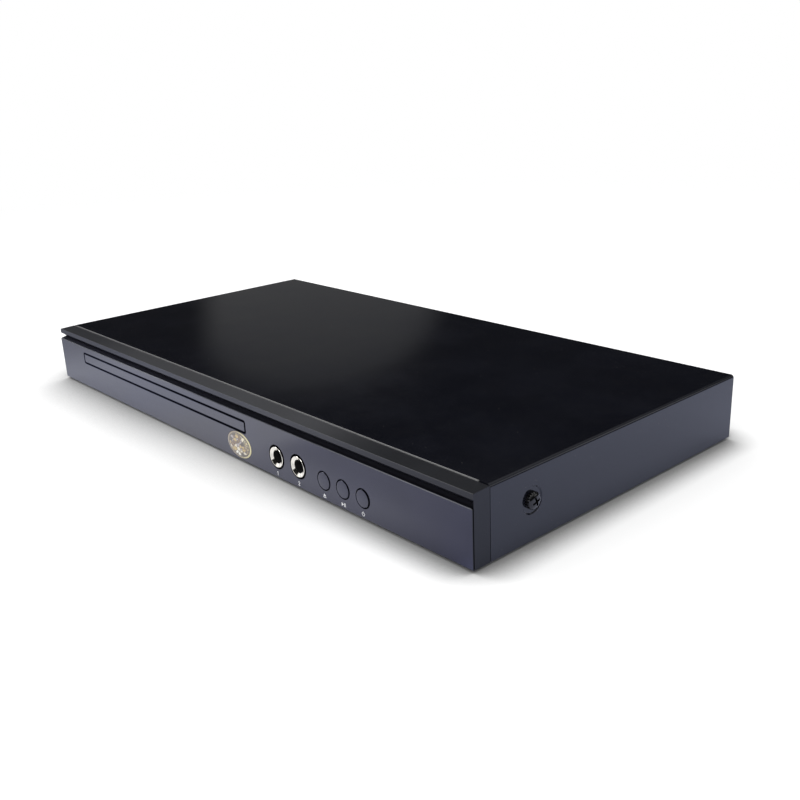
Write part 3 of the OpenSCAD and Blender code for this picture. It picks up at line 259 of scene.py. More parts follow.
# %% Drawn grain and settled dust
def make_drawn_grain():
    group, inside, out = new_group(
        "Drawn grain",
        [("Position", "NodeSocketVector", None), ("Stretch", "NodeSocketVector", (0.05, 6.0, 6.0))],
        ["Streak"],
    )
    pull = group.nodes.new("ShaderNodeVectorMath")
    pull.operation = "MULTIPLY"
    group.links.new(inside.outputs["Position"], pull.inputs[0])
    group.links.new(inside.outputs["Stretch"], pull.inputs[1])
    group.links.new(noise(group, pull.outputs[0], 1.0, 4.0, 0.6), out.inputs["Streak"])
    return group


def make_settled_dust():
    group, inside, out = new_group(
        "Settled dust", [("Position", "NodeSocketVector", None), ("Amount", "NodeSocketFloat", 0.1)], ["Dust"]
    )
    geometry = group.nodes.new("ShaderNodeNewGeometry")
    up = remap(group, parts_of(group, geometry.outputs["Normal"])[2], 0.55, 0.95)
    patches = remap(group, noise(group, inside.outputs["Position"], 0.11, 6.0, 0.65), 0.35, 0.75)
    group.links.new(all_of(group, up, patches, inside.outputs["Amount"]), out.inputs["Dust"])
    return group


DRAWN_GRAIN = make_drawn_grain()
SETTLED_DUST = make_settled_dust()
print("node groups:", [g.name for g in bpy.data.node_groups])

# %% [markdown]
# ## One recipe for most materials
#
# Paint, plastic, rubber and plated steel differ in a few properties only, so one function serves them all.
# `surface` builds a Principled material from plain words: a colour, a roughness, how coarse the grain is
# and how much smudges, hairlines and dust show. Object coordinates are metres, so they are first turned
# into millimetres: then "two grains per mm" means just that.

# %% The recipe
DUST_COLOUR = (0.42, 0.4, 0.37)
METRES_TO_MM = (1 / MM, 1 / MM, 1 / MM)


def start_material(name):
    """A new material with a Principled shader, and its position in millimetres."""
    material = bpy.data.materials.new(name)
    material.use_nodes = True
    tree = material.node_tree
    shader = tree.nodes["Principled BSDF"]
    coords = tree.nodes.new("ShaderNodeTexCoord")
    position = scaled(tree, coords.outputs["Object"], METRES_TO_MM)
    return material, tree, shader, position


def group_node(tree, group, position, **values):
    """A node group fed with a position. The names of the values have _ in place of spaces."""
    node = tree.nodes.new("ShaderNodeGroup")
    node.node_tree = group
    tree.links.new(position, node.inputs["Position"])
    for label, value in values.items():
        node.inputs[label.replace("_", " ")].default_value = value
    return node


def surface(
    name,
    colour,
    roughness,
    grain=2.0,
    bump=0.004,
    smudge=0.04,
    hairline=0.0,
    dust=0.02,
    specks=0.02,
    drawn=None,
    colour_shift=0.12,
    metallic=0.0,
    coat=0.0,
    coat_roughness=0.05,
    tint=None,
    ior=1.5,
):
    """A material. bump is the grain's height in mm, drawn the stretch of its streaks along X, Y and Z."""
    material, tree, shader, position = start_material(name)
    detail = group_node(tree, SURFACE_DETAIL, position, Grain_per_mm=grain, Speck_amount=specks)
    settled = group_node(tree, SETTLED_DUST, position, Amount=dust)
    lighter = tuple(min(1.0, c * (1.0 + colour_shift)) for c in colour)
    darker = tuple(c * (1.0 - colour_shift) for c in colour)
    tone = mix_colour(tree, detail.outputs["Smudge"], darker, lighter)
    rough = math_node(tree, "MULTIPLY_ADD", detail.outputs["Smudge"], smudge)
    rough.node.inputs[2].default_value = roughness
    height = detail.outputs["Grain"]
    if drawn:
        streak = group_node(tree, DRAWN_GRAIN, position, Stretch=drawn).outputs["Streak"]
        tone = mix_colour(tree, remap(tree, streak, 0.3, 0.7, 0.0, 0.35), tone, lighter)
        rough = math_node(tree, "ADD", rough, remap(tree, streak, 0.3, 0.7, -0.06, 0.08))
        height = streak
    if hairline:
        scratch = group_node(tree, HAIRLINES, position).outputs["Scratch"]
        rough = math_node(tree, "ADD", rough, math_node(tree, "MULTIPLY", scratch, hairline))
    dusty = math_node(tree, "MAXIMUM", settled.outputs["Dust"], detail.outputs["Speck"])
    tone = mix_colour(tree, math_node(tree, "MULTIPLY", dusty, 0.5), tone, DUST_COLOUR)
    matt = math_node(tree, "MULTIPLY", settled.outputs["Dust"], 0.5)
    rough = math_node(tree, "ADD", rough, matt, clamp=True)
    tree.links.new(tone, shader.inputs["Base Color"])
    tree.links.new(rough, shader.inputs["Roughness"])
    relief = tree.nodes.new("ShaderNodeBump")
    relief.inputs["Strength"].default_value = 1.0
    relief.inputs["Distance"].default_value = bump * MM
    tree.links.new(height, relief.inputs["Height"])
    tree.links.new(relief.outputs["Normal"], shader.inputs["Normal"])
    shader.inputs["Metallic"].default_value = metallic
    shader.inputs["Coat Weight"].default_value = coat
    shader.inputs["Coat Roughness"].default_value = coat_roughness
    shader.inputs["IOR"].default_value = ior
    if tint:
        shader.inputs["Specular Tint"].default_value = (*tint, 1.0)
    return material


print("the recipe's groups:", [g.name for g in (SURFACE_DETAIL, SETTLED_DUST, DRAWN_GRAIN, HAIRLINES)])

# %% [markdown]
# ## The shelf of materials
#
# A player is mostly black enamel, black and grey mouldings and zinc-plated steel, with nickel, chrome and
# bright screws where parts touch. Each entry below is one of them, named after its slot in the CAD record.
# Bare metal is `metallic`, and rolled or drawn metal gets streaks along one axis. Nothing is pure black or
# perfectly smooth.

# %% Materials from the recipe
MATERIALS = {
    "cover_black": surface(
        "Gloss black enamel", (0.0024, 0.0028, 0.0055), 0.13, grain=0.7, bump=0.006, smudge=0.05,
        hairline=0.05, dust=0.006, specks=0.03, coat=0.25, tint=(0.86, 0.89, 1.0),
    ),
    "black_plastic": surface("Black moulding", (0.014, 0.014, 0.015), 0.42, grain=4.0, bump=0.012),
    "grey_plastic": surface(
        "Dark grey moulding", (0.035, 0.036, 0.04), 0.45, grain=3.0, bump=0.016, dust=0.08,
    ),
    "tray_plastic": surface(
        "Tray moulding", (0.02, 0.02, 0.023), 0.38, grain=5.0, bump=0.014, smudge=0.1,
        hairline=0.12, dust=0.05,
    ),
    "foot_rubber": surface("Foot rubber", (0.016, 0.016, 0.016), 0.72, grain=2.2, bump=0.03, dust=0.12),
    "belt_rubber": surface("Belt rubber", (0.011, 0.011, 0.011), 0.5, grain=3.0, bump=0.01, dust=0.05),
    "screw_black": surface(
        "Black screw", (0.003, 0.003, 0.0034), 0.14, grain=2.0, bump=0.004, smudge=0.02, coat=0.3,
    ),
    "screw_steel": surface(
        "Bright zinc", (0.62, 0.63, 0.65), 0.26, metallic=1.0, grain=3.0, bump=0.004,
        hairline=0.2, colour_shift=0.08,
    ),
    "zinc_steel": surface(
        "Zinc-plated sheet", (0.5, 0.51, 0.52), 0.3, metallic=1.0, drawn=(0.04, 4.0, 4.0), bump=0.003,
        smudge=0.14, hairline=0.15, dust=0.1, colour_shift=0.14,
    ),
    "trim_chrome": surface(
        "Polished chrome", (0.92, 0.89, 0.82), 0.07, metallic=1.0, grain=1.5, bump=0.001, smudge=0.05,
        hairline=0.05, dust=0.0, colour_shift=0.03,
    ),
    "socket_metal": surface(
        "Nickel plate", (0.72, 0.69, 0.62), 0.17, metallic=1.0, grain=2.0, bump=0.003,
        hairline=0.1, colour_shift=0.06,
    ),
    "motor_can": surface(
        "Drawn steel can", (0.6, 0.61, 0.63), 0.24, metallic=1.0, drawn=(5.0, 5.0, 0.08), bump=0.003,
        hairline=0.1,
    ),
    "rod_steel": surface(
        "Ground steel", (0.68, 0.69, 0.71), 0.16, metallic=1.0, drawn=(7.0, 0.5, 7.0), bump=0.002,
    ),
    "heat_sink": surface(
        "Extruded aluminium", (0.72, 0.73, 0.74), 0.33, metallic=1.0, drawn=(4.0, 0.06, 4.0),
        bump=0.004, dust=0.1,
    ),
    "chip_black": surface("Chip package", (0.018, 0.018, 0.019), 0.46, grain=6.0, bump=0.01, dust=0.06),
    "gear_white": surface(
        "White acetal", (0.62, 0.61, 0.56), 0.36, grain=3.0, bump=0.006, smudge=0.1,
        dust=0.05, colour_shift=0.05,
    ),
    "ribbon_white": surface(
        "Flat cable", (0.66, 0.66, 0.62), 0.3, drawn=(0.9, 0.04, 0.9), bump=0.03, colour_shift=0.1,
    ),
    "lead_red": surface("Wire insulation", (0.38, 0.018, 0.012), 0.3, grain=2.0, bump=0.008),
    "plunger_red": surface("Switch plunger", (0.42, 0.04, 0.03), 0.35, grain=4.0, bump=0.006),
    "lens_black": surface("Lens holder", (0.014, 0.015, 0.022), 0.2, grain=4.0, bump=0.004, coat=0.6),
    "fuse_glass": surface(
        "Fuse tube", (0.75, 0.78, 0.78), 0.08, grain=2.0, bump=0.002, smudge=0.05, coat=0.5,
        colour_shift=0.05,
    ),
    "badge_gold": surface("Badge ground", (0.5, 0.37, 0.14), 0.3, grain=2.0, bump=0.003, metallic=0.6),
}
print("materials from the recipe:", len(MATERIALS))

# %% [markdown]
# ## Masks from the position
#
# The front is one gloss moulding, but not every part of it shines alike. Its lip is satin, and whatever
# lies behind the face, such as the groove and the gaps round door and keys, is painted dull black as painted
# shade. The lip and the fascia's edges get painted highlights and painted shade as well. Separate materials
# on separate faces would do that, but the CAD faces don't end where these marks do. Masks made from the
# position do: `case_place` gives it in the case's own millimetres, `band` is 1 between two places along an
# axis, and `repaint` lays a colour over the recipe's where a mask is 1.

# %% Masks and repainting
def band(tree, value, low, high, soft=0.04):
    """1 where value is between low and high, with ends that are soft over a few hundredths of a mm."""
    above = remap(tree, value, low - soft, low + soft)
    below = remap(tree, value, high - soft, high + soft, 1.0, 0.0)
    return math_node(tree, "MULTIPLY", above, below)


def object_position(tree):
    """The object coordinates in metres, of a material from the recipe."""
    return next(n for n in tree.nodes if n.type == "TEX_COORD").outputs["Object"]


def case_place(tree):
    """X, Y and Z in the case's own millimetres, for a material from the recipe."""
    from_case = vector_node(tree, "SUBTRACT", object_position(tree), corner)
    return parts_of(tree, scaled(tree, from_case, METRES_TO_MM))


def repaint(tree, shader, mask, colour, rougher):
    """Lays a colour over the base colour where mask is 1, and adds to the roughness there."""
    tone = mix_colour(tree, mask, shader.inputs["Base Color"].links[0].from_socket, colour)
    rough = shader.inputs["Roughness"].links[0].from_socket
    rough = math_node(tree, "ADD", rough, math_node(tree, "MULTIPLY", mask, rougher), clamp=True)
    tree.links.new(tone, shader.inputs["Base Color"])
    tree.links.new(rough, shader.inputs["Roughness"])


case_right, cover_front = from_corner(cover_high).x, from_corner(cover_low).y
print("the cover starts", round(cover_front, 2), "mm behind the fascia and ends at x =", round(case_right, 2))

# %% [markdown]
# ### Gaps round door and keys
#
# A gap between two mouldings looks wider than it is, because its edges are rounded and shade each other. So
# a dark line is painted over the gap and a little of its edges. The line is the distance to the opening's
# outline: a rectangle with rounded corners for the door, a circle for each key. Each key's line is thicker
# on the side that its raised edge shades.

# %% Dark lines along the gaps
DOOR_GAP = 0.85
DOOR_CORNER = 1.3
SEAM_SHADOW = 0.3
KEY_X = [270.3, 283.5, 296.7]
KEY_Z = 9.2
# How far the shade of each key's edge is shifted, and how much of that shift is upwards
KEY_SHADE, SHADE_RISE = [0.25, 0.3, 0.45], 0.6
# The key's edge and the hole's edge: where the ring of shade sets in and where it has gone
KEY_EDGE, HOLE_EDGE = (4.1, 4.3), (4.55, 4.75)


def door_seam(tree, x, z):
    """The gap round the door and the shadow along its edges: distance to the opening's rounded outline."""
    low, high = from_corner(door_low), from_corner(door_high)
    beyond = []
    for value, door_start, door_end in ((x, low.x, high.x), (z, low.z, high.z)):
        start, end = door_start - DOOR_GAP, door_end + DOOR_GAP
        away = math_node(tree, "ABSOLUTE", math_node(tree, "SUBTRACT", value, (start + end) / 2))
        past_straight = math_node(tree, "SUBTRACT", away, (end - start) / 2 - DOOR_CORNER)
        beyond.append(math_node(tree, "MAXIMUM", past_straight, 0.0))
    inner, outer = DOOR_CORNER - DOOR_GAP - SEAM_SHADOW, DOOR_CORNER + SEAM_SHADOW
    return band(tree, length_of(tree, *beyond), inner, outer, 0.1)


def key_seams(tree, x, z):
    """The gap round each key, wider on the side that the key's edge shades."""
    seams = 0.0
    for key_x, shift in zip(KEY_X, KEY_SHADE):
        limits = []
        for aside in (-shift, shift / 2):
            across = math_node(tree, "SUBTRACT", x, key_x + aside)
            up = math_node(tree, "SUBTRACT", z, KEY_Z + aside * SHADE_RISE)
            limits.append(length_of(tree, across, up))
        ring = all_of(tree, remap(tree, limits[0], *KEY_EDGE), remap(tree, limits[1], *HOLE_EDGE, 1.0, 0.0))
        seams = math_node(tree, "MAXIMUM", ring, seams)
    return seams


print("gaps: one round the door,", len(KEY_X), "round the keys")

# %% [markdown]
# ### Lip, groove and cheeks
#
# Above the fascia runs a groove, and above that a bevelled lip with a fine satin grain. The groove is painted
# dark as painted shade, so it stays dark at any angle: nearly black at its mouth and a little paler at its
# root, where light from the far side comes back. The lip's tone carries a painted highlight in its middle and
# painted shade at its right end, its bevelled front is darkened as painted shade, and its upper front edge
# gets a thin painted highlight line. The upper edge of the fascia is rounded and gets a thin painted
# highlight line. The cheeks at both ends are darkened and lose some of their reflection, as painted shade.
#
# Every glossy plastic reflects a few per cent of the light, even black plastic. A mask on Metallic over a
# nearly black colour takes that away, as painted shade, and that is what makes a gap look like a gap.

# %% The bezel's material
FAR = 99.0
# Depth under the face where the painted shade begins: inside the openings, and in the groove's rounded mouth
SKIN, MOUTH_ROUND = 0.04, 0.32
OPENINGS_Z = (1.0, 24.0)
# The stretches of x over which painted shade spreads over the groove's rounded mouth and hides its highlight,
# then eases to half
MIDDLE_FROM, MIDDLE_TO = (110.0, 190.0), (250.0, 330.0)
LIP_Z = 28.95
LIP_TOP_Z = 31.15
# The lip's tone from left to right: its own grey, a painted highlight in the middle, painted shade at the
# right end
LIP_LEFT = (0.019, 0.0195, 0.0215)
LIP_HIGHLIGHT = (0.039, 0.0395, 0.042)
LIP_SHADE = (0.006, 0.0064, 0.0072)
# The stretches of x over which the lip's tone rises to its painted highlight and falls to its painted shade
LIP_LIGHT_STEPS = [(25.0, 110.0), (250.0, 312.0)]
# A painted highlight line along the lip's upper front edge
LIP_EDGE_HIGHLIGHT = (0.06, 0.06, 0.063)
LIP_ROUGHER = 0.16
# The lip's bevelled front, darkened as painted shade
BEVEL = (0.016, 0.0165, 0.02)
FASCIA_TOP = 25.4
# A painted highlight line along the fascia's rounded top edge
FASCIA_EDGE_HIGHLIGHT = (0.09, 0.093, 0.1)
# Painted shade in the groove: nearly black at its mouth and paler at its root, where light comes back
GROOVE_MOUTH, GROOVE_ROOT = (0.009, 0.009, 0.012), (0.07, 0.07, 0.088)
SEAM_BLACK = (0.002, 0.002, 0.003)
# The cheeks' painted shade
CHEEK_SHADE = (0.0145, 0.0145, 0.013)
# How much reflection the lip's bevel and the cheeks lose, as painted shade
BEVEL_SHADE_DULL, CHEEK_SHADE_DULL = 0.4, 0.5


def shade_behind_face(tree, x, y, z):
    """Where painted shade goes behind the face: the insides of the openings, the groove under the lip, and in
    the middle also the groove's rounded mouth.
    """
    under_skin = band(tree, y, SKIN, FAR, 0.02)
    in_fascia = all_of(tree, under_skin, band(tree, z, *OPENINGS_Z))
    behind = math_node(tree, "MAXIMUM", in_fascia, band(tree, y, MOUTH_ROUND, FAR))
    middle_shade_steps = [remap(tree, x, *MIDDLE_FROM), remap(tree, x, *MIDDLE_TO, 1.0, 0.5)]
    middle_edge_shade = math_node(tree, "MINIMUM", *middle_shade_steps)
    behind = math_node(tree, "MAXIMUM", behind, all_of(tree, middle_edge_shade, under_skin))
    return all_of(tree, behind, band(tree, z, -1.0, LIP_Z))


def bezel_material():
    """Gloss grey, with the lip, the groove, the cheeks and the gaps laid over it."""
    material = surface(
        "Gloss grey moulding", (0.014, 0.0145, 0.032), 0.16, grain=3.0, bump=0.003, smudge=0.05,
        hairline=0.04, dust=0.006, specks=0.012, tint=(0.8, 0.83, 1.0), ior=1.66,
    )
    tree = material.node_tree
    shader = tree.nodes["Principled BSDF"]
    x, y, z = case_place(tree)
    between_sides = band(tree, x, 0.07, case_right - 0.07, 0.02)
    # Painted shade behind the face: in the openings, in the groove and over the middle of its rounded mouth
    painted_shade_behind = all_of(tree, between_sides, shade_behind_face(tree, x, y, z))
    lip = all_of(tree, band(tree, z, LIP_Z, FAR), band(tree, x, -1.0, case_right - 0.1))
    # The lip's bevelled front gets painted shade
    bevel = all_of(tree, lip, band(tree, y, -1.0, 0.75, 0.08))
    # A painted highlight line along the lip's upper front edge
    lip_edge_highlight = all_of(tree, lip, band(tree, y, 0.5, 0.9), band(tree, z, LIP_TOP_Z, FAR))
    # Painted highlight and shade along the lip: lighter in the middle, darker at the right end
    lip_tone_and_light = mix_colour(tree, remap(tree, x, *LIP_LIGHT_STEPS[0]), LIP_LEFT, LIP_HIGHLIGHT)
    lip_tone_and_light = mix_colour(tree, remap(tree, x, *LIP_LIGHT_STEPS[1]), lip_tone_and_light, LIP_SHADE)
    # The groove's painted shade, from its mouth to its root
    groove_shade = mix_colour(tree, remap(tree, y, 0.6, 3.0), GROOVE_MOUTH, GROOVE_ROOT)
    # A painted highlight line along the fascia's rounded top edge
    fascia_edge_highlight = all_of(tree, band(tree, y, -1.0, 0.3), band(tree, z, FASCIA_TOP - 0.3, FASCIA_TOP + 0.3))
    seam = math_node(tree, "MAXIMUM", door_seam(tree, x, z), key_seams(tree, x, z))
    # The cheeks at both ends, darkened as painted shade
    shaded_cheeks = math_node(tree, "SUBTRACT", 1.0, between_sides)
    for mask, colour, rougher in (
        (lip, lip_tone_and_light, LIP_ROUGHER),
        (bevel, BEVEL, 0.0),
        (lip_edge_highlight, LIP_EDGE_HIGHLIGHT, 0.0),
        (painted_shade_behind, groove_shade, 0.4),
        (fascia_edge_highlight, FASCIA_EDGE_HIGHLIGHT, 0.1),
        (seam, SEAM_BLACK, 0.0),
        (shaded_cheeks, CHEEK_SHADE, 0.0),
    ):
        repaint(tree, shader, mask, colour, rougher)
    # Painted shade: no reflection in the groove and the gaps, and less on the lip's bevel and on the cheeks
    dull = math_node(tree, "MAXIMUM", painted_shade_behind, seam)
    for mask, amount in ((bevel, BEVEL_SHADE_DULL), (shaded_cheeks, CHEEK_SHADE_DULL)):
        dull = math_node(tree, "MAXIMUM", dull, math_node(tree, "MULTIPLY", mask, amount))
    tree.links.new(dull, shader.inputs["Metallic"])
    return material


MATERIALS["bezel_grey"] = bezel_material()
print("the lip starts at z =", LIP_Z, "mm and the fascia ends at z =", FASCIA_TOP)

# %% [markdown]
# ### The highlight on the cover's edge
#
# The cover is sheet steel, and a thin pale line along its front edge above the lip is a painted highlight.
# It is a mask again, over the cover's enamel this time, and it ends a little before the right corner.

# %% A painted highlight on the cover's edge
# A painted highlight: a pale line along the cover's front edge, ending before the right corner
COVER_EDGE_HIGHLIGHT = (0.24, 0.24, 0.24)
HIGHLIGHT_X = (0.5, case_right - 6.0)
cover_top = from_corner(cover_high).z


def painted_edge_highlight(material):
    """A painted highlight along the cover's front edge, above the lip."""
    tree = material.node_tree
    x, y, z = case_place(tree)
    near_front, near_top = band(tree, y, -1.0, cover_front + 0.2, 0.05), band(tree, z, cover_top - 1.0, FAR)
    edge = all_of(tree, near_front, near_top, band(tree, x, *HIGHLIGHT_X, 0.8))
    repaint(tree, tree.nodes["Principled BSDF"], edge, COVER_EDGE_HIGHLIGHT, 0.2)


painted_edge_highlight(MATERIALS["cover_black"])
# Where the painted highlight on the cover's front edge starts and ends
print("bare edge from x =", HIGHLIGHT_X[0], "to", round(HIGHLIGHT_X[1], 1), "mm")

# %% [markdown]
# ## Materials with a pattern of their own
#
# A circuit board, a printed sleeve, a wound transformer and the coloured collars need more than the recipe.
# Each one takes the recipe's result and mixes a pattern into its base colour. The board's tracks are a
# brick texture, of which only the mortar is used, and its pads are the middles of Voronoi cells.

# %% Circuit boards
TRACKS_PER_MM, TRACK_WIDTH, TRACK_LENGTH, TRACK_STEP = 0.21, 0.035, 1.7, 0.42
PADS_PER_MM, PAD_RADIUS = 0.34, (0.2, 0.24)
SOLDER = (0.55, 0.52, 0.45)


def with_pattern(name, colour, roughness, paint, **recipe):
    """The recipe, with paint(tree, position, colour socket) laid over its colour."""
    material = surface(name, colour, roughness, **recipe)
    tree = material.node_tree
    shader = tree.nodes["Principled BSDF"]
    base = shader.inputs["Base Color"].links[0].from_socket
    position = scaled(tree, object_position(tree), METRES_TO_MM)
    tree.links.new(paint(tree, position, base), shader.inputs["Base Color"])
    return material


def board_print(copper, ink):
    """Tracks, round pads and a little white print on a circuit board."""

    def paint(tree, position, base):
        lanes = tree.nodes.new("ShaderNodeTexBrick")
        lanes.inputs["Scale"].default_value = TRACKS_PER_MM
        lanes.inputs["Mortar Size"].default_value = TRACK_WIDTH
        lanes.inputs["Brick Width"].default_value = TRACK_LENGTH
        lanes.inputs["Row Height"].default_value = TRACK_STEP
        for label, value in (("Color1", 0.0), ("Color2", 0.0), ("Mortar", 1.0)):
            lanes.inputs[label].default_value = (value, value, value, 1.0)
        tree.links.new(position, lanes.inputs["Vector"])
        pads = tree.nodes.new("ShaderNodeTexVoronoi")
        pads.inputs["Scale"].default_value = PADS_PER_MM
        tree.links.new(position, pads.inputs["Vector"])
        pad = remap(tree, pads.outputs["Distance"], *PAD_RADIUS, 1.0, 0.0)
        tone = mix_colour(tree, math_node(tree, "MULTIPLY", lanes.outputs["Fac"], 0.65), base, copper)
        tone = mix_colour(tree, pad, tone, SOLDER)
        letters = remap(tree, noise(tree, scaled(tree, position, (0.9, 2.2, 2.2)), 0.5, 1.0), 0.7, 0.72)
        return mix_colour(tree, letters, tone, ink)

    return paint


MATERIALS["board_green"] = with_pattern(
    "Green board", (0.008, 0.06, 0.024), 0.28, board_print((0.015, 0.13, 0.05), (0.6, 0.6, 0.58)),
    grain=4.0, bump=0.006,
)
MATERIALS["board_brown"] = with_pattern(
    "Brown board", (0.22, 0.13, 0.05), 0.5, board_print((0.3, 0.2, 0.1), (0.7, 0.68, 0.6)),
    grain=3.0, bump=0.01,
)
print("boards:", [MATERIALS[slot].name for slot in ("board_green", "board_brown")])

# %% [markdown]
# ### Sleeves, tape and collars
#
# A capacitor's printed sleeve has one pale dashed stripe that marks a pole, and leaves the metal top bare.
# A small transformer is a ferrite core with yellow tape between its halves. The pin sockets carry collars
# in six colours, so that each lead finds its place. All three patterns come from the position or from the
# normal.

# %% Sleeves, tape and collars
STRIPE, CAN_TOP = (0.62, 0.62, 0.58), (0.5, 0.5, 0.5)
DASHES_PER_MM = 0.35
FERRITE = (0.03, 0.03, 0.032)
# Half the tape's width, and how deep the core's top bar is, each as the stretch over which the tone changes
TAPE_HALF, CORE_TOP = (8.4, 8.9), (-3.2, -2.9)
COLLARS = [
    [(0.7, 0.7, 0.68), (0.55, 0.02, 0.015), (0.62, 0.42, 0.02)],
    [(0.02, 0.2, 0.05), (0.02, 0.06, 0.35), (0.5, 0.02, 0.02)],
]


def sleeve_print(tree, position, base):
    """A pale stripe down one side of each capacitor and a bare metal top."""
    geometry = tree.nodes.new("ShaderNodeNewGeometry")
    aside, _, up = parts_of(tree, geometry.outputs["Normal"])
    along = math_node(tree, "MULTIPLY", parts_of(tree, position)[2], DASHES_PER_MM)
    dashes = math_node(tree, "GREATER_THAN", math_node(tree, "FRACT", along), 0.3)
    stripe = all_of(tree, remap(tree, aside, 0.86, 0.9), dashes)
    return mix_colour(tree, remap(tree, up, 0.7, 0.8), mix_colour(tree, stripe, base, STRIPE), CAN_TOP)


def winding_print(tree, position, base):
    """Yellow tape between the dark halves of a ferrite core."""
    low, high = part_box("mains_transformer")
    _, y, z = parts_of(tree, position)
    away = math_node(tree, "ABSOLUTE", math_node(tree, "SUBTRACT", y, (low.y + high.y) / 2 / MM))
    top = remap(tree, z, *(high.z / MM + drop for drop in CORE_TOP))
    return mix_colour(tree, math_node(tree, "MAXIMUM", remap(tree, away, *TAPE_HALF), top), base, FERRITE)


def collar_print(tree, position, base):
    """Each collar's colour, chosen by its column and row."""
    low, high = (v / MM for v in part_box("pin_socket_collars"))
    x, _, z = parts_of(tree, position)
    width = (high.x - low.x) / len(COLLARS[0])
    tone = base
    for column in range(len(COLLARS[0])):
        left = low.x + width * column
        after = math_node(tree, "GREATER_THAN", x, left)
        before = math_node(tree, "LESS_THAN", x, left + width)
        for colours, test in zip(COLLARS, ("LESS_THAN", "GREATER_THAN")):
            in_row = math_node(tree, test, z, (low.z + high.z) / 2)
            tone = mix_colour(tree, all_of(tree, after, before, in_row), tone, colours[column])
    return tone


MATERIALS["capacitor_sleeve"] = with_pattern(
    "Printed sleeve", (0.012, 0.014, 0.05), 0.3, sleeve_print, grain=2.0
)
MATERIALS["transformer_tape"] = with_pattern(
    "Wound transformer", (0.62, 0.44, 0.05), 0.4, winding_print, grain=1.2, bump=0.03
)
MATERIALS["collar_colour"] = with_pattern(
    "Coloured collar", (0.6, 0.4, 0.05), 0.35, collar_print, grain=3.0
)
print("materials in all:", len(MATERIALS))

# %% [markdown]
# ## Giving each node its material
#
# The record names a material slot for every CAD node. The same names are the keys of `MATERIALS`, so one
# loop dresses the whole player.

# %% Dress the nodes
slots = {part["node"]: part["material_slot"] for part in frame["record"]["subparts"]}
for name, node in nodes.items():
    node.data.materials.clear()
    node.data.materials.append(MATERIALS[slots[name]])
print("nodes dressed:", len(slots))

# %% [markdown]
# ## Softened edges
#
# Nothing that is moulded or folded has a razor edge, and it is the softened edge that catches the light.
# Two modifiers do it without touching the CAD vertices: weld joins the split corners of the imported
# mesh, bevel rounds the sharp edges, and its hardened normals keep the flats flat.

# %% Soften the edges
WELD_REACH = 0.002


def soften(name, width_mm, segments=2, angle=32.0):
    """Rounds a node's edges that are sharper than angle, in degrees."""
    node = nodes[name]
    if "custom_normal" in node.data.attributes:
        node.data.attributes.remove(node.data.attributes["custom_normal"])
    for polygon in node.data.polygons:
        polygon.use_smooth = True
    weld = node.modifiers.new("Weld", "WELD")
    weld.merge_threshold = WELD_REACH * MM
    bevel = node.modifiers.new("Soft edges", "BEVEL")
    bevel.width = width_mm * MM
    bevel.segments = segments
    bevel.limit_method = "ANGLE"
    bevel.angle_limit = math.radians(angle)
    bevel.harden_normals = True
    bevel.use_clamp_overlap = True


SOFT_EDGES = {
    "top_cover": 0.22, "front_bezel": 0.1, "tray_door": 0.12, "disc_tray": 0.25, "rubber_feet": 0.3,
    "eject_key": 0.12, "play_key": 0.12, "power_key": 0.12, "back_panel": 0.08, "mains_inlet": 0.25,
    "loader_frame": 0.2, "clamp_bridge": 0.12, "clamp_puck": 0.25, "traverse_deck": 0.12, "pickup_sled": 0.3,
    "lift_slider": 0.2, "mic_sockets": 0.2, "pin_socket_block": 0.3,
}
for name, width in SOFT_EDGES.items():
    soften(name, width)
print("softened:", len(SOFT_EDGES))

# %% [markdown]
# ## New pieces: the printed signs
#
# The signs under sockets and keys are white ink, printed on the finished moulding. Ink this thin could be a
# mask as well, but small outlines stay crisp only as shapes of their own. `piece` turns lists of points and
# faces into an object, gives it a material and lets it ride on a body of the CAD model, so that it follows
# that body when a joint moves. The badge and the screws further down are made with it too.

# %% Pieces that ride on a body
def piece(name, points, faces, material, body, slot, smooth=35.0):
    """A new mesh object in the row frame that rides on a CAD body."""
    mesh = bpy.data.meshes.new(name)
    mesh.from_pydata([tuple(p) for p in points], [], faces)
    mesh.validate()
    if smooth:
        mesh.polygons.foreach_set("use_smooth", [True] * len(mesh.polygons))
        mesh.set_sharp_from_angle(angle=math.radians(smooth))
    mesh.materials.append(material)
    made = bpy.data.objects.new(name, mesh)
    bpy.context.scene.collection.objects.link(made)
    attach(made, body)
    return made


# %% Signs under sockets and keys
PRINT_LIFT = 0.015
MIC_X = [234.9, 251.5]
SIGN_Z = 2.15
ink = surface("White print", (0.78, 0.79, 0.8), 0.45, grain=6.0, bump=0.002, dust=0.0, colour_shift=0.04)


def sign(name, outlines, x, z):
    """Flat ink on the fascia. Each outline is a list of (right, up) in mm round the sign's centre."""
    points, faces = [], []
    for outline in outlines:
        first = len(points)
        points += [at(x + u, -PRINT_LIFT, z + v) for u, v in outline]
        faces.append(list(range(first, len(points))))
    return piece(name, points, faces, ink, "chassis", "bezel_grey", smooth=0)


def box_outline(u0, v0, u1, v1):
    """A rectangle between two corners."""
    return [(u0, v0), (u1, v0), (u1, v1), (u0, v1)]


def arc_outlines(radius, width, start, end, steps=28):
    """A ring's part from start to end degrees, as one four-cornered outline per step."""
    angles = [math.radians(start + (end - start) * i / steps) for i in range(steps + 1)]
    inner, outer = radius, radius + width
    quads = []
    for a, b in zip(angles, angles[1:]):
        corners = ((inner, b), (outer, b), (outer, a), (inner, a))
        quads.append([(r * math.cos(angle), r * math.sin(angle)) for r, angle in corners])
    return quads


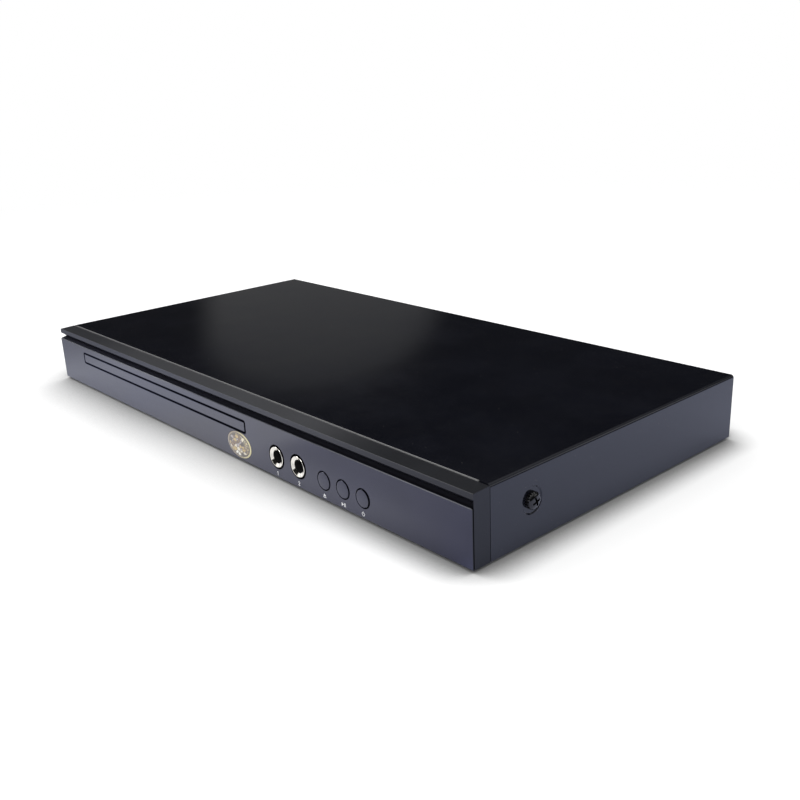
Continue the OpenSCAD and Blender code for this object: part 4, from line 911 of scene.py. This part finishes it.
one = [box_outline(-0.16, -1.0, 0.16, 1.0), [(-0.16, 1.0), (-0.62, 0.62), (-0.62, 0.36), (-0.16, 0.68)]]
two = [
    box_outline(-0.62, -1.0, 0.62, -0.72),
    [(-0.62, -0.72), (-0.2, -0.72), (0.62, 0.2), (0.62, 0.44), (0.36, 0.44)],
    *[[(u, v + 0.44) for u, v in quad] for quad in arc_outlines(0.34, 0.28, -8, 185, 16)],
]
eject = [[(-1.05, -0.2), (1.05, -0.2), (0.0, 1.0)], box_outline(-1.05, -0.95, 1.05, -0.55)]
play = [
    [(-1.3, -0.9), (0.15, 0.0), (-1.3, 0.9)],
    box_outline(0.4, -0.9, 0.75, 0.9),
    box_outline(1.05, -0.9, 1.4, 0.9),
]
power = [*arc_outlines(0.72, 0.26, 122, 418), box_outline(-0.13, 0.1, 0.13, 1.15)]
SIGNS = {"numeral_one": one, "numeral_two": two, "eject_sign": eject, "play_sign": play, "power_sign": power}
for (name, outlines), x in zip(SIGNS.items(), MIC_X + KEY_X):
    sign(name, outlines, x, SIGN_Z)
print("signs on the fascia:", len(SIGNS))

# %% [markdown]
# ### The badge
#
# The badge is an oval of clear resin over a print. The print is drawn by the shader: random cells in gold,
# cream and brown, like a cut stone, inside a dark line and a gold rim. A painted highlight lightens the print
# towards the right, and the rim has painted shade at its left and a painted highlight at its right. Distance
# from the middle is measured in ellipse units, so the rim follows the oval. The resin is a clear coat, and
# its dome is modelled, because only a curved surface moves the highlights about.

# %% The badge's print
badge_low, badge_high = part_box("front_badge")
badge_centre = (badge_low + badge_high) / 2
half_w, half_h = (badge_high.x - badge_low.x) / 2, (badge_high.z - badge_low.z) / 2
FACETS_PER_MM, FACET_SQUASH = 0.42, 1.3
# The facets' colours, each from its place in 0 to 1 up to the next one's
FACET_COLOURS = [
    (0.0, (0.03, 0.018, 0.012)), (0.2, (0.15, 0.085, 0.04)), (0.4, (0.42, 0.3, 0.12)),
    (0.58, (0.3, 0.26, 0.27)), (0.74, (0.62, 0.56, 0.44)), (0.9, (0.78, 0.76, 0.68)),
]
# The dark line between facets, and the painted highlight that lightens the facets towards the right
FACET_LINE, FACET_HIGHLIGHT = (0.03, 0.016, 0.01), (0.66, 0.6, 0.38)
DARK_LINE, DARK_LINE_AT, RIM_AT = (0.06, 0.035, 0.018), (0.8, 0.84), (0.89, 0.92)
# The rim: painted shade at its left, painted highlight at its right
RIM_SHADE, RIM_HIGHLIGHT = (0.2, 0.15, 0.09), (0.58, 0.53, 0.3)


def facet_cells(tree, place, feature):
    """Voronoi cells over the badge: whole ones (F1), or the distance to their edges."""
    cells = tree.nodes.new("ShaderNodeTexVoronoi")
    cells.feature = feature
    cells.inputs["Scale"].default_value = FACETS_PER_MM
    tree.links.new(place, cells.inputs["Vector"])
    return cells


def badge_material():
    """Facets with dark lines between them, a painted highlight at the right, a dark line, and a rim with
    painted shade at the left and a painted highlight at the right.
    """
    material = surface("Badge print", (0.5, 0.36, 0.12), 0.24, grain=3.0, bump=0.002, coat=1.0, dust=0.0)
    tree = material.node_tree
    centred = vector_node(tree, "SUBTRACT", object_position(tree), badge_centre)
    x, _, z = parts_of(tree, centred)
    u, v = math_node(tree, "DIVIDE", x, half_w), math_node(tree, "DIVIDE", z, half_h)
    radius = length_of(tree, u, v)
    place = scaled(tree, centred, (1 / MM, 0.0, FACET_SQUASH / MM))
    chance = tree.nodes.new("ShaderNodeSeparateColor")
    tree.links.new(facet_cells(tree, place, "F1").outputs["Color"], chance.inputs[0])
    ramp = tree.nodes.new("ShaderNodeValToRGB")
    ramp.color_ramp.interpolation = "CONSTANT"
    while len(ramp.color_ramp.elements) < len(FACET_COLOURS):
        ramp.color_ramp.elements.new(0.5)
    for element, (start, colour) in zip(ramp.color_ramp.elements, FACET_COLOURS):
        element.position = start
        element.color = (*colour, 1.0)
    tree.links.new(chance.outputs[0], ramp.inputs["Fac"])
    # Painted highlight: the facets get lighter towards the right and the top
    glow = remap(tree, math_node(tree, "ADD", u, math_node(tree, "MULTIPLY", v, 0.4)), 0.35, 0.85)
    tone = mix_colour(tree, math_node(tree, "MULTIPLY", glow, 0.55), ramp.outputs["Color"], FACET_HIGHLIGHT)
    edges = facet_cells(tree, place, "DISTANCE_TO_EDGE").outputs["Distance"]
    tone = mix_colour(tree, remap(tree, edges, 0.03, 0.1, 0.85, 0.0), tone, FACET_LINE)
    tone = mix_colour(tree, remap(tree, radius, *DARK_LINE_AT), tone, DARK_LINE)
    # The rim: painted shade at its left, painted highlight at its right
    rim = mix_colour(tree, remap(tree, u, -0.4, 0.7), RIM_SHADE, RIM_HIGHLIGHT)
    tone = mix_colour(tree, remap(tree, radius, *RIM_AT), tone, rim)
    tree.links.new(tone, tree.nodes["Principled BSDF"].inputs["Base Color"])
    return material


badge_print = badge_material()
print("badge, mm:", round(half_w * 2000, 1), "x", round(half_h * 2000, 1))


# %% The badge's dome
def ring_faces(rows, sides):
    """Four-cornered faces between the rows of a turned shape, then a fan to its tip and a flat back."""
    faces = []
    for row in range(rows - 1):
        for k in range(sides):
            a, b = row * sides + k, row * sides + (k + 1) % sides
            faces.append((a, b, b + sides, a + sides))
    last, tip = (rows - 1) * sides, rows * sides
    faces += [(last + k, last + (k + 1) % sides, tip) for k in range(sides)]
    faces.append(list(range(sides))[::-1])
    return faces


def badge_dome(rings=6, sides=72, rise_mm=0.28):
    """An oval lens: flat back on the recess, a short wall and a shallow dome up to the CAD badge's face."""
    rise = rise_mm * MM
    wall = badge_low.y + rise
    steps = [math.pi / 2 * i / rings for i in range(1, rings)]
    levels = [(1.0, badge_high.y), (1.0, wall)] + [(math.cos(a), wall - rise * math.sin(a)) for a in steps]
    points = []
    for scale, y in levels:
        for k in range(sides):
            a = 2 * math.pi * k / sides
            x, z = half_w * scale * math.cos(a), half_h * scale * math.sin(a)
            points.append((badge_centre.x + x, y, badge_centre.z + z))
    points.append((badge_centre.x, wall - rise, badge_centre.z))
    return points, ring_faces(len(levels), sides)


badge = piece("badge_lens", *badge_dome(), badge_print, "chassis", "badge_gold", smooth=50.0)
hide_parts("front_badge")
print("faces of the badge:", len(badge.data.polygons))

# %% [markdown]
# ### Case screws with ribbed heads
#
# A screw with a ribbed head can be turned by hand, which is why case covers have them. Each head is turned
# from a profile, with its flank swelling in and out to make the ribs, and a cross for the driver is cut out
# by a boolean modifier that is applied at once. Modelled ribs are worth it here: their shade is all that
# shows of a black screw in a dark dimple.

# %% The screws' heads
HEAD_HEIGHT = 2.9
HEAD_SWELL = 0.045
# From the seat to the top: the share of the radius, and the share of the height
HEAD_PROFILE = [(1.0, 0.0), (1.0, 0.5), (0.96, 0.62), (0.86, 0.76), (0.7, 0.87), (0.5, 0.94), (0.26, 0.985)]


def screw_head(centre, outward, radius_mm, ribs=20, sides=120):
    """Points and faces of one head. outward is +1 or -1 along X."""
    points = []
    for row, (scale, rise) in enumerate(HEAD_PROFILE):
        for k in range(sides):
            a = 2 * math.pi * k / sides
            swell = HEAD_SWELL * math.cos(ribs * a) if row < 2 else 0.0
            r = radius_mm * MM * (scale * (1 - HEAD_SWELL) + swell)
            x = outward * rise * HEAD_HEIGHT * MM
            points.append(centre + Vector((x, r * math.cos(a), outward * r * math.sin(a))))
    points.append(centre + Vector((outward * HEAD_HEIGHT * MM, 0, 0)))
    return points, ring_faces(len(HEAD_PROFILE), sides)


print("rows in a head's profile:", len(HEAD_PROFILE))

# %% [markdown]
# The cross is two flat bars that a boolean takes out of the head. It is turned a little, as screws end up
# at any angle.

# %% Cut the cross and place both screws
screw_low, screw_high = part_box("side_screws")
screw_middle = (screw_low + screw_high) / 2
CROSS_DEPTH, CROSS_LENGTH, CROSS_WIDTH = 1.5, 4.1, 0.95
CROSS_TURN = 0.35


def cross_cutter(place):
    """Two crossed bars round a place, as deep outside it as inside."""
    bars = bmesh.new()
    size = Matrix.Diagonal((2 * CROSS_DEPTH * MM, CROSS_LENGTH * MM, CROSS_WIDTH * MM, 1.0))
    for turn in (CROSS_TURN, CROSS_TURN + math.pi / 2):
        turned = Matrix.Translation(place) @ Matrix.Rotation(turn, 4, "X") @ size
        bmesh.ops.create_cube(bars, size=1.0, matrix=turned)
    mesh = bpy.data.meshes.new("cutter")
    bars.to_mesh(mesh)
    bars.free()
    cutter = bpy.data.objects.new("cutter", mesh)
    bpy.context.scene.collection.objects.link(cutter)
    return cutter


def case_screw(name, outward):
    """A ribbed head with its cross, in place of the CAD screw's on one side."""
    outer = screw_high.x if outward > 0 else screw_low.x
    seat = Vector((outer - outward * HEAD_HEIGHT * MM, screw_middle.y, screw_middle.z))
    points, faces = screw_head(seat, outward, (screw_high.z - screw_low.z) / 2 / MM)
    made = piece(name, points, faces, MATERIALS["screw_black"], "chassis", "screw_black", smooth=40.0)
    cutter = cross_cutter((outer, screw_middle.y, screw_middle.z))
    cut = made.modifiers.new("Cross", "BOOLEAN")
    cut.operation = "DIFFERENCE"
    cut.solver = "EXACT"
    cut.use_self = True
    cut.object = cutter
    done = bpy.data.meshes.new_from_object(made.evaluated_get(bpy.context.evaluated_depsgraph_get()))
    made.modifiers.clear()
    made.data = done
    bpy.data.objects.remove(cutter)
    return made


heads = [case_screw("right_case_screw", 1), case_screw("left_case_screw", -1)]
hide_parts("side_screws")
print("faces of the heads:", [len(h.data.polygons) for h in heads])

# %% [markdown]
# ## The studio: a pale floor
#
# A product picture on white needs a pale floor, soft light and a dark room for the gloss to reflect. The
# floor is a plain matt plane that fades to pure white far from the player, so no horizon shows. In
# reflections it is a little bluer and darker, as if grey cards stood beside the player: the gloss of the
# fascia and of the cover's side is mostly a picture of the floor, so its tones are set by where on the
# floor they look.
#
# The ambient occlusion node tells how much of the sky a place on the floor sees. It deepens the soft
# contact shadow round the player, which strong fill light would otherwise wash out.

# %% The floor's tones
FLOOR = 0.92
FLOOR_HALF = 30.0
FADE_TO_WHITE = (0.45, 1.1)
# The floor's tones in reflections, from left to right, and the stretches of x over which each one turns
# into the next. The tone at the right has a darker value in front of the player and another at its end.
GLOSS_LEFT = [(0.45, 0.46, 0.5), (0.9, 0.92, 1.0), (1.0, 1.0, 1.0)]
GLOSS_NEAR, GLOSS_RIGHT, GLOSS_RIGHT_END = (0.58, 0.58, 0.6), (0.88, 0.88, 0.9), (0.3, 0.3, 0.33)
GLOSS_BESIDE = (0.56, 0.59, 0.74)
GLOSS_STEPS = [(-0.27, -0.15), (-0.1, -0.03), (0.008, 0.032), (0.165, 0.18)]
NEAR_STEP, RIGHT_STEP = (-0.125, -0.105), (0.1, 0.2)

paper = bpy.data.materials.new("White paper")
paper.use_nodes = True
sheet = paper.node_tree
paper_shader = sheet.nodes["Principled BSDF"]
paper_shader.inputs["Roughness"].default_value = 0.9
paper_shader.inputs["Specular IOR Level"].default_value = 0.1
floor_place = sheet.nodes.new("ShaderNodeTexCoord").outputs["Object"]
floor_x, floor_y, _ = parts_of(sheet, floor_place)
gloss_right = mix_colour(sheet, remap(sheet, floor_y, *NEAR_STEP), GLOSS_NEAR, GLOSS_RIGHT)
gloss_right = mix_colour(sheet, remap(sheet, floor_x, *RIGHT_STEP), gloss_right, GLOSS_RIGHT_END)
in_gloss = GLOSS_LEFT[0]
for step, tone in zip(GLOSS_STEPS, (*GLOSS_LEFT[1:], gloss_right, GLOSS_BESIDE)):
    in_gloss = mix_colour(sheet, remap(sheet, floor_x, *step), in_gloss, tone)
print("tones of the floor in reflections:", len(GLOSS_STEPS) + 1)

# %% The contact shadow
# How far from the player each shadow reaches in metres, how strong it is, and where it stops getting darker
FRONT_REACH, FRONT_SHADE_LEFT, FRONT_SHADE, FRONT_DEEPEST = 0.047, 1.25, 0.95, 0.62
RIGHT_REACH, RIGHT_SHADE, RIGHT_DEEPEST = 0.017, 1.7, 0.71


def contact_shade(distance, strength, deepest):
    """How dark the floor gets from what stands within a distance of it, and never darker than deepest."""
    open_sky = sheet.nodes.new("ShaderNodeAmbientOcclusion")
    open_sky.samples = 8
    open_sky.inputs["Distance"].default_value = distance
    covered = math_node(sheet, "SUBTRACT", 1.0, open_sky.outputs["AO"])
    return math_node(sheet, "MINIMUM", math_node(sheet, "MULTIPLY", covered, strength), deepest)


beside_right = remap(sheet, floor_x, 0.0, 0.18)
front_strength = remap(sheet, floor_x, -0.1, 0.0, FRONT_SHADE_LEFT, FRONT_SHADE)
front_part = contact_shade(FRONT_REACH, front_strength, FRONT_DEEPEST)
front_part = all_of(sheet, front_part, math_node(sheet, "SUBTRACT", 1.0, beside_right))
right_part = all_of(sheet, contact_shade(RIGHT_REACH, RIGHT_SHADE, RIGHT_DEEPEST), beside_right)
shade = math_node(sheet, "ADD", front_part, right_part)
shaded = mix_colour(sheet, shade, (FLOOR,) * 3, (0.0, 0.0, 0.0))
print("the shadow's reach, mm:", [round(reach / MM) for reach in (FRONT_REACH, RIGHT_REACH)])

# %% The floor itself
rays = sheet.nodes.new("ShaderNodeLightPath")
paper_tone = mix_colour(sheet, rays.outputs["Is Glossy Ray"], shaded, in_gloss)
sheet.links.new(paper_tone, paper_shader.inputs["Base Color"])
reach = sheet.nodes.new("ShaderNodeVectorMath")
reach.operation = "LENGTH"
sheet.links.new(floor_place, reach.inputs[0])
far = remap(sheet, reach.outputs["Value"], *FADE_TO_WHITE)
white = sheet.nodes.new("ShaderNodeEmission")
blend = sheet.nodes.new("ShaderNodeMixShader")
sheet.links.new(all_of(sheet, far, rays.outputs["Is Camera Ray"]), blend.inputs[0])
sheet.links.new(paper_shader.outputs[0], blend.inputs[1])
sheet.links.new(white.outputs[0], blend.inputs[2])
sheet_out = next(n for n in sheet.nodes if n.type == "OUTPUT_MATERIAL")
sheet.links.new(blend.outputs[0], sheet_out.inputs["Surface"])

floor_mesh = bpy.data.meshes.new("floor")
floor_corners = [(-1, -1), (1, -1), (1, 1), (-1, 1)]
floor_mesh.from_pydata([(x * FLOOR_HALF, y * FLOOR_HALF, 0) for x, y in floor_corners], [], [(0, 1, 2, 3)])
floor_mesh.materials.append(paper)
floor = bpy.data.objects.new("floor", floor_mesh)
bpy.context.scene.collection.objects.link(floor)
print("floor, metres:", [round(v) for v in floor.dimensions])

# %% [markdown]
# ## The studio: the room
#
# The world is white to the camera and bright to diffuse light, and mostly dark to mirror-like rays, so that
# black paint stays black. Two soft lit panels hang in that dark: a low wide one behind the player, whose
# reflection lies on the cover's top, and one high at the far right, which lights the cover's right fold and
# the screw's head. A real lamp there would light the paint as well. The light path node keeps the panels to
# mirror-like rays.

# %% The world and its panels
DOME = 0.97
# The room's strength in reflections, from the lowest to the highest of two elevations in degrees
GLOSS_LOW, GLOSS_HIGH, GLOSS_RISE = 0.012, 0.55, (24, 70)
# For each panel: azimuth, half width, lowest and highest elevation, and how far its soft round ends reach
# beyond those, all in degrees, and its strength
PANELS = [(143.5, 7.0, -30.0, 13.0, 6.0, 0.095), (45.0, 18.0, 18.0, 30.0, 4.0, 0.8)]

world = bpy.data.worlds.new("Studio")
bpy.context.scene.world = world
world.use_nodes = True
sky = world.node_tree
sky.nodes.clear()
path = sky.nodes.new("ShaderNodeLightPath")
direction = sky.nodes.new("ShaderNodeTexCoord").outputs["Generated"]
upwards = parts_of(sky, direction)[2]


def add_panel(glow, strength, *degrees):
    """Adds one soft lit panel to what mirror-like rays see."""
    azimuth, wide, low, high, beyond = (math.radians(a) for a in degrees)
    facing = vector_node(sky, "DOT_PRODUCT", direction, (math.cos(azimuth), math.sin(azimuth), 0.0))
    across = vector_node(sky, "DOT_PRODUCT", direction, (-math.sin(azimuth), math.cos(azimuth), 0.0))
    aside = math_node(sky, "DIVIDE", across, math.sin(wide))
    above = math_node(sky, "SUBTRACT", upwards, math.sin(high))
    below = math_node(sky, "SUBTRACT", math.sin(low), upwards)
    off = math_node(sky, "MAXIMUM", math_node(sky, "MAXIMUM", above, below), 0.0)
    off = math_node(sky, "DIVIDE", off, math.sin(high + beyond) - math.sin(high))
    panel = remap(sky, length_of(sky, aside, off), 0.85, 1.15, strength, 0.0)
    return math_node(sky, "ADD", glow, all_of(sky, panel, math_node(sky, "GREATER_THAN", facing, 0.0)))


def choose(factor, a, b):
    """The number a where factor is 0 and b where it is 1. Each is a socket or a number."""
    node = sky.nodes.new("ShaderNodeMix")
    node.data_type = "FLOAT"
    sky.links.new(factor, node.inputs["Factor"])
    for socket, value in zip((node.inputs["A"], node.inputs["B"]), (a, b)):
        if isinstance(value, float):
            socket.default_value = value
        else:
            sky.links.new(value, socket)
    return node.outputs[0]


lowest, highest = (math.sin(math.radians(a)) for a in GLOSS_RISE)
glow = remap(sky, upwards, lowest, highest, GLOSS_LOW, GLOSS_HIGH)
for *degrees, strength in PANELS:
    glow = add_panel(glow, strength, *degrees)
to_rays = choose(path.outputs["Is Glossy Ray"], DOME, glow)
emit = sky.nodes.new("ShaderNodeBackground")
emit.inputs["Color"].default_value = (1.0, 1.0, 1.0, 1.0)
sky.links.new(choose(path.outputs["Is Camera Ray"], to_rays, 1.0), emit.inputs["Strength"])
room = sky.nodes.new("ShaderNodeOutputWorld")
sky.links.new(emit.outputs[0], room.inputs["Surface"])
print("panels in the room:", len(PANELS))

# %% [markdown]
# ## The studio: light cards
#
# Four soft boxes give the light a direction: the shadow falls to the front and to the right, and the chrome
# rings get their bright arcs. They are area lights, because a large soft source is what a studio uses for
# gloss.


# %% Light cards
def card(name, place, aim, width, height, power):
    """A rectangular light card at place, turned towards aim. It isn't seen by the camera."""
    light = bpy.data.lights.new(name, "AREA")
    light.shape = "RECTANGLE"
    light.size, light.size_y = width, height
    light.energy = power
    made = bpy.data.objects.new(name, light)
    made.location = place
    made.rotation_euler = (Vector(aim) - Vector(place)).to_track_quat("-Z", "Y").to_euler()
    made.visible_camera = False
    bpy.context.scene.collection.objects.link(made)
    return made


cards = [
    card("left_card", (-1.1, -0.55, 0.95), (0, -0.05, 0.02), 0.7, 0.5, 5.0),
    card("front_card", (0.25, -1.2, 1.0), (0.05, -0.09, 0.02), 0.8, 0.35, 3.0),
    card("low_card", (-0.95, -0.85, 0.16), (0.06, -0.1, 0.01), 0.7, 0.26, 0.7),
    card("top_card", (0.1, -0.1, 1.3), (0, 0, 0), 0.9, 0.6, 4.0),
]
print("light cards:", len(cards))

# %% [markdown]
# ## The camera
#
# The camera stands to the right in front of the player and looks down at it by nineteen degrees. Its place,
# turn and focal length were solved from the corners of the case.

# %% The camera
PICTURE_PX, FOCAL_PX = 800.0, 938.19
SENSOR_MM = 36.0
CAMERA_PLACE = (0.395017, -0.316532, 0.177926)
CAMERA_TURN = (70.6414, 2.3298, 47.8789)

view_data = bpy.data.cameras.new("camera")
view_data.sensor_width = SENSOR_MM
view_data.lens = FOCAL_PX * SENSOR_MM / PICTURE_PX
view_data.clip_start = 0.01
camera = bpy.data.objects.new("camera", view_data)
camera.location = CAMERA_PLACE
camera.rotation_euler = [math.radians(a) for a in CAMERA_TURN]
bpy.context.scene.collection.objects.link(camera)
bpy.context.scene.camera = camera
bpy.context.scene.view_settings.view_transform = "Standard"
print("lens, mm:", round(view_data.lens, 2))
